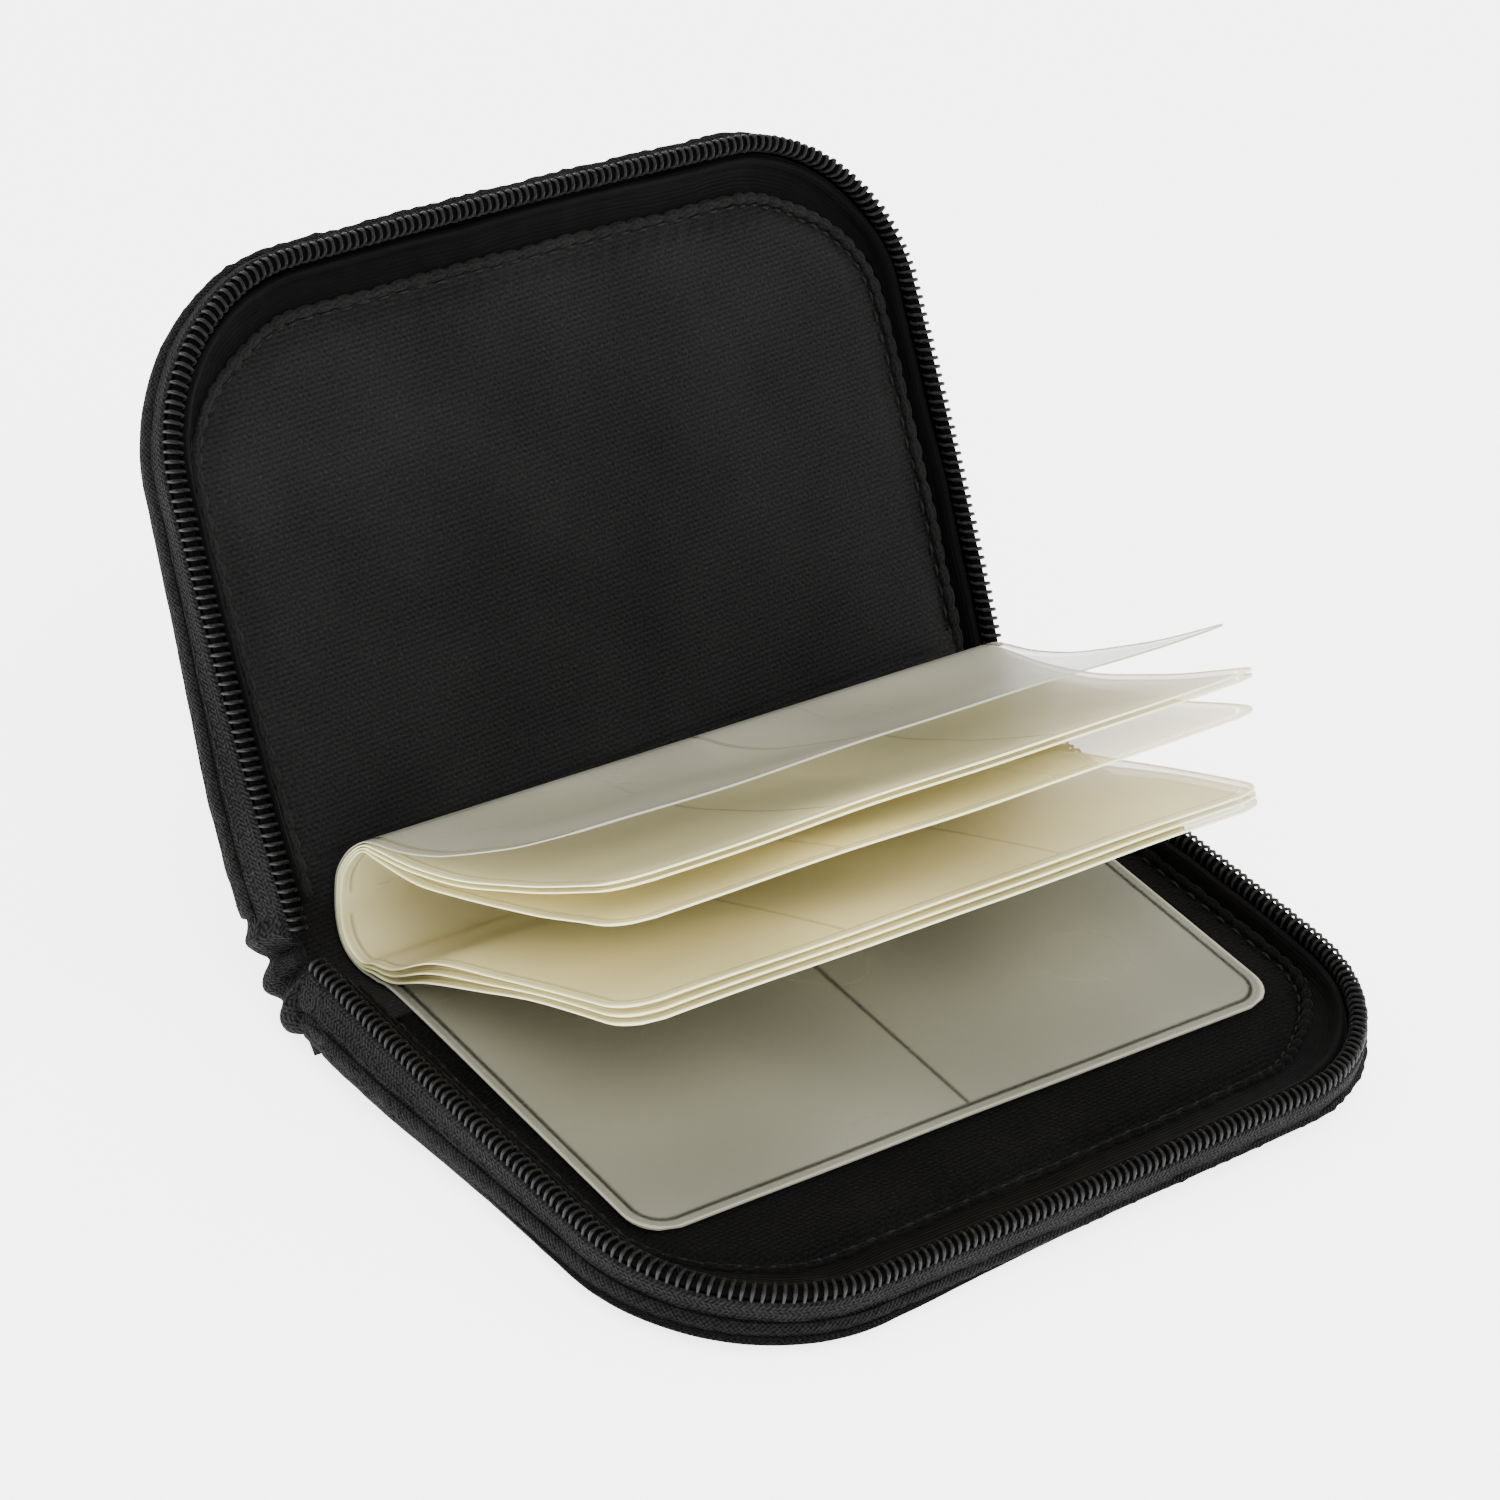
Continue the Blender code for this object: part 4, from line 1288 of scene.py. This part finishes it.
@dataclass
class Pages:
    """The four folded film sheets."""

    finishes: Finishes
    half_length: float = PAGE_LENGTH / 2
    corner: float = 5.0
    thickness: float = 0.26
    fold_pitch: float = 0.36
    shift: float = -0.3
    fold: tuple[Point2, ...] = (
        (43.4, 6.5), (46.7, 7.5), (48.6, 10.1), (49.4, 14.1), (49.2, 17.6), (47.4, 21.2), (44.6, 24.2),
    )
    fold_centre: Point2 = (41.0, 15.4)
    sheets: tuple[SheetShape, ...] = (
        SheetShape(
            "page_sheet_outer", "film_sheet_outer", 0,
            ((-17.0, 4.7), (8.0, 6.1), (34.0, 7.5), (39.5, 6.95)),
            ((41.9, 25.6), (36.5, 27.5), (30.4, 30.4), (25.5, 33.3), (15.2, 40.1), (8.8, 44.8), (1.1, 50.7)),
            0.4,
        ),
        SheetShape(
            "page_sheet_second", "film_sheet_second", 1,
            ((-10.1, 30.1), (7.1, 23.5), (18.7, 18.0), (29.2, 12.8), (36.0, 8.7), (40.2, 7.55)),
            (
                (41.5, 24.95), (34.1, 26.8), (24.2, 30.5), (14.6, 35.4), (8.1, 39.0), (-0.7, 44.4),
                (-5.1, 47.2),
            ),
            1.7,
        ),
        SheetShape(
            "page_sheet_third", "film_sheet_third", 2,
            ((-9.6, 31.0), (5.4, 25.2), (17.2, 19.9), (28.5, 14.6), (36.1, 9.6), (40.4, 8.15)),
            (
                (41.2, 24.35), (34.0, 26.1), (24.0, 29.8), (14.4, 34.7), (7.8, 38.3), (-1.0, 43.7),
                (-5.5, 46.5),
            ),
            1.7,
        ),
        SheetShape(
            "page_sheet_inner", "film_sheet_inner", 3,
            ((-9.1, 31.9), (3.7, 26.8), (15.8, 21.7), (27.9, 16.4), (36.2, 10.5), (40.6, 8.75)),
            ((40.8, 23.7), (32.7, 25.1), (24.0, 28.3), (14.3, 32.3), (7.6, 35.2), (0.4, 38.7), (-6.6, 41.9)),
            3.1,
        ),
    )

    def section(self, sheet: SheetShape) -> Grid:
        """The sheet's line from the tip of its lower leaf to the tip of its upper leaf.

        Args:
            sheet: The sheet.

        Returns:
            Array of y and z.
        """
        centre = np.array(self.fold_centre)
        fold = np.array(self.fold)
        inwards = (centre - fold) / np.linalg.norm(centre - fold, axis=1, keepdims=True)
        nested = fold + inwards * self.fold_pitch * sheet.inset
        return smooth_line([*sheet.lower, *map(tuple, nested), *sheet.upper])

    def make_sheet(self, sheet: SheetShape) -> bpy.types.Object:
        """One sheet as a thin body whose free ends wave a little.

        Args:
            sheet: The sheet.

        Returns:
            The piece.
        """
        line, t = evenly(self.section(sheet), 0.8)
        total = t[-1]
        tip = np.minimum(t, total - t)
        inside = np.clip(1 - tip / self.corner, 0.0, 1.0)
        half = self.half_length - self.corner * (1 - np.sqrt(np.maximum(1 - inside**2, 0.0)))
        share = np.linspace(-1.0, 1.0, 61)
        x = half[:, None] * share
        normal = normals_of(line)
        free = np.clip((tip[:, None] * -1 + 58.0) / 58.0, 0.0, 1.0) ** 1.5
        upper = (t > total / 2)[:, None]
        loose = np.where(upper, 0.22, 0.16) if sheet.inset else np.where(upper, 0.3, 0.1)
        wave = loose * free * ripple(x, tip[:, None] * 0.8, 64.0, sheet.seed + upper * 1.1)
        edges = self.thickness / 2 * (1 - 0.45 * np.clip(1 - (self.half_length - np.abs(x)) / 0.5, 0, 1))
        faces = []
        for side in (1.0, -1.0):
            off = wave + side * edges
            y = line[:, :1] + normal[:, :1] * off
            z = line[:, 1:] + normal[:, 1:] * off
            faces.append(np.stack([x, y, z], axis=-1))
        draft = Draft()
        draft.slab(*faces, np.stack([x + self.half_length, np.broadcast_to(tip[:, None], x.shape)], axis=-1))
        pivot = Matrix.Translation(Vector((-self.half_length, HINGE_Y, 0.0)) * MM)
        turn = Matrix.Rotation(math.radians(PAGE_YAW), 4, "Z")
        origin = Matrix.Translation(Vector((self.half_length + self.shift, -HINGE_Y, 0.0)) * MM)
        film = self.finishes.outer_film if sheet.inset == 0 else self.finishes.inner_film
        obj = draft.build(sheet.name, self.finishes.get(film), pivot @ turn @ origin)
        carry(obj, "page_film", "base", sheet.node)
        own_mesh(obj)
        return obj

    def build(self) -> None:
        """Builds every sheet."""
        for sheet in self.sheets:
            self.make_sheet(sheet)


@dataclass
class Spine:
    """The spine's outer and inner fabric and the gathered tape ends."""

    finishes: Finishes
    cover_path: tuple[Point2, ...] = (
        (39.9, 0.45), (44.5, 0.5), (48.4, 1.5), (50.0, 4.3), (50.9, 7.4), (52.9, 9.3), (55.7, 10.0),
    )
    lining_path: tuple[Point2, ...] = (
        (31.8, 6.98), (35.4, 6.9), (39.0, 6.1), (43.4, 5.6), (47.3, 6.6), (49.5, 9.7), (50.4, 13.4),
        (51.8, 16.6), (53.4, 19.3),
    )
    fan_inner: tuple[Point2, ...] = (
        (37.5, 9.1), (39.8, 9.3), (41.7, 9.3), (43.2, 9.2), (44.5, 9.3), (45.4, 9.9), (46.2, 10.9),
        (47.2, 12.8), (48.9, 15.9),
    )
    fan_outer: tuple[Point2, ...] = (
        (37.5, 0.6), (40.5, 0.5), (43.6, 0.5), (46.9, 0.9), (48.9, 2.6), (50.2, 5.0), (51.5, 7.0),
        (53.6, 8.9), (56.0, 11.9),
    )
    pleats: float = 3.6
    ruffles: float = 9.0

    def bend(self, obj: bpy.types.Object, node: str) -> None:
        """Hides the CAD node that a piece stands for and bakes the piece's place into its mesh.

        Args:
            obj: The piece.
            node: The CAD node that it stands for.
        """
        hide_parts(node)
        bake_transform(obj)
        LOG.info("%s: %d faces", obj.name, len(obj.data.polygons))

    def make_strip(
        self, name: str, path: tuple[Point2, ...], half: float, thick: float, ribs: float, finish: ClothFinish
    ) -> bpy.types.Object:
        """A strip of fabric along the spine.

        Args:
            name: The piece's name.
            path: Its section.
            half: Half its length along the spine.
            thick: Its thickness.
            ribs: Height of its soft folds.
            finish: Its finish.

        Returns:
            The piece.
        """
        line, t = evenly(smooth_line(list(path)), 0.5)
        normal = normals_of(line)
        x = np.linspace(-half, half, 121)[None] + np.zeros((len(line), 1))
        calm = np.sin(np.clip(t / t[-1], 0, 1) * math.pi)[:, None]
        long_folds = ripple(t[:, None] * 2.2, x * 0.35, 9.0, 1.2)
        wave = ribs * calm * (0.6 * long_folds + 0.4 * ripple(x, t[:, None], 14.0, 2.6))
        faces = []
        for side in (0.5, -0.5):
            off = wave + side * thick
            z = np.maximum(line[:, 1:] + normal[:, 1:] * off, 0.0)
            faces.append(np.stack([x, line[:, :1] + normal[:, :1] * off, z], axis=-1))
        draft = Draft()
        draft.slab(*faces, np.stack([x, np.broadcast_to(t[:, None], x.shape)], axis=-1))
        return draft.build(name, self.finishes.get(finish))

    def make_fan(self, side: Side, spread: float, depth: float) -> bpy.types.Object:
        """Gathered tape at one end of the spine.

        Args:
            side: Which end.
            spread: How far its outer part stands outwards.
            depth: How deep its pleats are.

        Returns:
            The piece.
        """
        inner = smooth_line(list(self.fan_inner), 24)
        outer = smooth_line(list(self.fan_outer), 24)
        share = np.linspace(0.0, 1.0, 22)
        plane = inner[:, None] + (outer - inner)[:, None] * share[None, :, None]
        part = np.linspace(0.0, 1.0, len(inner))[:, None]
        calm = np.clip(np.minimum(part, 1 - part) / 0.14, 0, 1) ** 0.7
        waist = np.sin(part * math.pi) ** 2
        pleat = np.cos(TURN * self.pleats * part + 1.2 * share[None] + side.value)
        ruffle = np.cos(TURN * self.ruffles * part + 0.8 * pleat + 2.0 * share[None])
        rough = 0.10 * ripple(part * 9.0, share[None] * 3.0, 2.3, 5.0 + side.value)
        base = 58.75 + spread * np.minimum(1.0, share[None] / 0.45)
        hollow = depth * waist * (0.9 * (1 - share[None]) + 0.55)
        shoulder = 1.3 * np.clip((share[None] - 0.7) / 0.3, 0, 1) ** 2
        fine = 0.22 * ruffle * (1 - 0.8 * share[None]) + rough
        x = base + calm * (0.3 + fine + depth * pleat - hollow - shoulder)
        edge = 0.35 * pleat * share[None] ** 2 * calm
        away = (outer - inner)[:, None] / np.linalg.norm(outer - inner, axis=1)[:, None, None]
        plane = plane + away * edge[..., None] * 0.9
        z = np.maximum(plane[..., 1], 0.05)
        front = np.stack([side.value * x, plane[..., 0], z], axis=-1)
        behind = np.stack([side.value * np.full_like(x, 56.9), plane[..., 0], z], axis=-1)
        ring = np.concatenate([front, behind[:, ::-1]], axis=1)
        lengths = np.linspace(0.0, 22.0, len(inner))[:, None] * np.ones_like(x)
        places = np.stack([lengths, share[None] * 6.0 * np.ones_like(x)], axis=-1)
        places = np.concatenate([places, places[:, ::-1] - (0.0, 3.0)], axis=1)
        draft = Draft()
        draft.tube(ring, places)
        name = f"gathered_tape_{side.name.lower()}"
        return draft.build(name, self.finishes.get(self.finishes.gathers))

    def build(self) -> None:
        """Builds the spine's pieces."""
        cover = self.make_strip("spine_outer_fabric", self.cover_path, 56.6, 0.7, 0.5, self.finishes.cover)
        self.bend(cover, "spine_cover")
        cloth = self.finishes.lid_lining
        lining = self.make_strip("spine_inner_fabric", self.lining_path, 56.4, 0.4, 0.06, cloth)
        self.bend(lining, "spine_lining")
        self.bend(self.make_fan(Side.LEFT, 1.75, 0.9), "spine_end_left")
        self.bend(self.make_fan(Side.RIGHT, 1.0, 0.4), "spine_end_right")


@dataclass
class Hardware:
    """The slider and its pull, which keep their CAD shapes, and the stitches through the folds."""

    finishes: Finishes
    pitch: float = 3.4
    run: float = 2.3
    radius: float = 0.16

    def make_page_stitches(self) -> None:
        """The row of stitches that holds the folded sheets to the spine."""
        draft = Draft()
        shape = np.array([0.3, 0.9, 1.0, 1.0, 0.9, 0.3])[:, None]
        ring = np.linspace(0, TURN, 6, endpoint=False)
        for start in np.arange(-45.0, 43.0, self.pitch):
            x = (start + np.linspace(0, self.run, len(shape)))[:, None] + 0 * ring
            y = 48.05 + (x + PAGE_LENGTH / 2) * math.tan(math.radians(PAGE_YAW))
            thick = self.radius * shape
            points = np.stack([x, y + thick * np.cos(ring), 14.1 + thick * np.sin(ring)], axis=-1)
            draft.tube(points, points[..., :2])
        stitches = draft.build("page_stitches", self.finishes.get(self.finishes.pale_thread))
        carry(stitches, "thread", "base", "page_stitching")

    def build(self) -> None:
        """Builds the stitches and gives the two metal nodes their finish."""
        self.make_page_stitches()
        for node in ("zip_slider", "zip_pull"):
            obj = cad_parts[node]
            obj.data.materials.clear()
            obj.data.materials.append(self.finishes.get(self.finishes.metal))
            LOG.info("%s: finished", node)


@dataclass
class Studio:
    """Camera, floor and soft lights."""

    lens: float = 120.0
    place: tuple[float, float, float] = (-0.35872, -0.36246, 0.35618)
    right: tuple[float, float, float] = (0.77488, -0.62475, 0.09620)
    up: tuple[float, float, float] = (0.26643, 0.46081, 0.84657)
    back: tuple[float, float, float] = (-0.57322, -0.63036, 0.52352)

    def make_camera(self) -> None:
        """Sets the camera at the photo's angle."""
        data = bpy.data.cameras.new("camera")
        data.lens = self.lens
        data.sensor_width = 36.0
        data.clip_start = 0.01
        camera = bpy.data.objects.new("camera", data)
        turn = Matrix((self.right, self.up, self.back)).transposed()
        camera.matrix_world = Matrix.Translation(self.place) @ turn.to_4x4()
        bpy.context.scene.collection.objects.link(camera)
        bpy.context.scene.camera = camera

    def make_floor(self) -> None:
        """A plain pale floor, large enough to fill the view."""
        mesh = bpy.data.meshes.new("floor")
        size, below = 6.0, -0.0006
        corners = [(-size, -size, below), (size, -size, below), (size, size, below), (-size, size, below)]
        mesh.from_pydata(corners, [], [(0, 1, 2, 3)])
        graph = NodeGraph("floor_paint")
        place = graph.node("ShaderNodeTexCoord")
        noise = graph.node("ShaderNodeTexNoise", None, {"Vector": place.outputs["Object"], "Scale": 3.0})
        tone = Level(graph, noise.outputs[0])
        graph.feed(graph.shader.inputs["Base Color"], graph.mixed(tone, grey(0.93), grey(0.95)))
        graph.shader.inputs["Roughness"].default_value = 0.9
        graph.shader.inputs["Emission Color"].default_value = (1.0, 1.0, 1.0, 1.0)
        graph.shader.inputs["Emission Strength"].default_value = 3.6
        mesh.materials.append(graph.material)
        floor = bpy.data.objects.new("floor", mesh)
        bpy.context.scene.collection.objects.link(floor)

    def make_light(self, name: str, place: tuple[float, float, float], size: float, power: float) -> None:
        """A soft square light that faces the case.

        Args:
            name: The light's name.
            place: Where it stands, in metres.
            size: Its side in metres.
            power: Its power in watts.
        """
        data = bpy.data.lights.new(name, "AREA")
        data.energy = power
        data.size = size
        light = bpy.data.objects.new(name, data)
        light.location = place
        light.rotation_euler = (Vector((0.0, 0.02, 0.03)) - Vector(place)).to_track_quat("-Z", "Y").to_euler()
        bpy.context.scene.collection.objects.link(light)

    def build(self) -> None:
        """Makes the camera, floor, world and lights."""
        self.make_camera()
        self.make_floor()
        world = bpy.data.worlds.new("soft_room")
        world.use_nodes = True
        world.node_tree.nodes["Background"].inputs[0].default_value = (1.0, 1.0, 1.0, 1.0)
        world.node_tree.nodes["Background"].inputs[1].default_value = 1.2
        bpy.context.scene.world = world
        self.make_light("key", (-0.5, -0.7, 1.1), 0.8, 14.0)
        self.make_light("fill", (0.9, -0.5, 0.7), 0.9, 6.0)
        self.make_light("top", (0.1, 0.5, 1.3), 0.9, 9.0)
        LOG.info("studio: camera, floor and three lights")


def half_frame(lid: bool) -> Matrix:
    """The frame of a half: origin on the hinge line, rim plane as its XY plane.

    Args:
        lid: True for the lid, which stands open.

    Returns:
        The frame.
    """
    wedge = RimLine().wedge
    tilt = math.radians(LID_OPENING - 180.0) - wedge
    turn = Euler((tilt, 0.0, math.pi)) if lid else Euler((wedge, 0.0, 0.0))
    return Matrix.Translation(Vector((0.0, HINGE_Y, HINGE_Z)) * MM) @ turn.to_matrix().to_4x4()


def main() -> None:
    """Builds the case piece by piece, then the studio."""
    logging.basicConfig(level=logging.INFO, format="%(name)s: %(message)s")
    finishes = Finishes()
    CaseHalf(
        "base", (1.5, 4.0), half_frame(lid=False), finishes, finishes.base_lining, seed=0.7, lining_top=-4.2
    ).build()
    CaseHalf(
        "lid", (5.2, 1.5), half_frame(lid=True), finishes, finishes.lid_lining, seed=2.9, cover_swell=0.7,
        lining_swell=0.4, puff=0.5, corner_bulge=0.3, front_lift=0.0,
    ).build()
    Spine(finishes).build()
    Hardware(finishes).build()
    Pages(finishes).build()
    Studio().build()


if __name__ == "__main__":
    main()
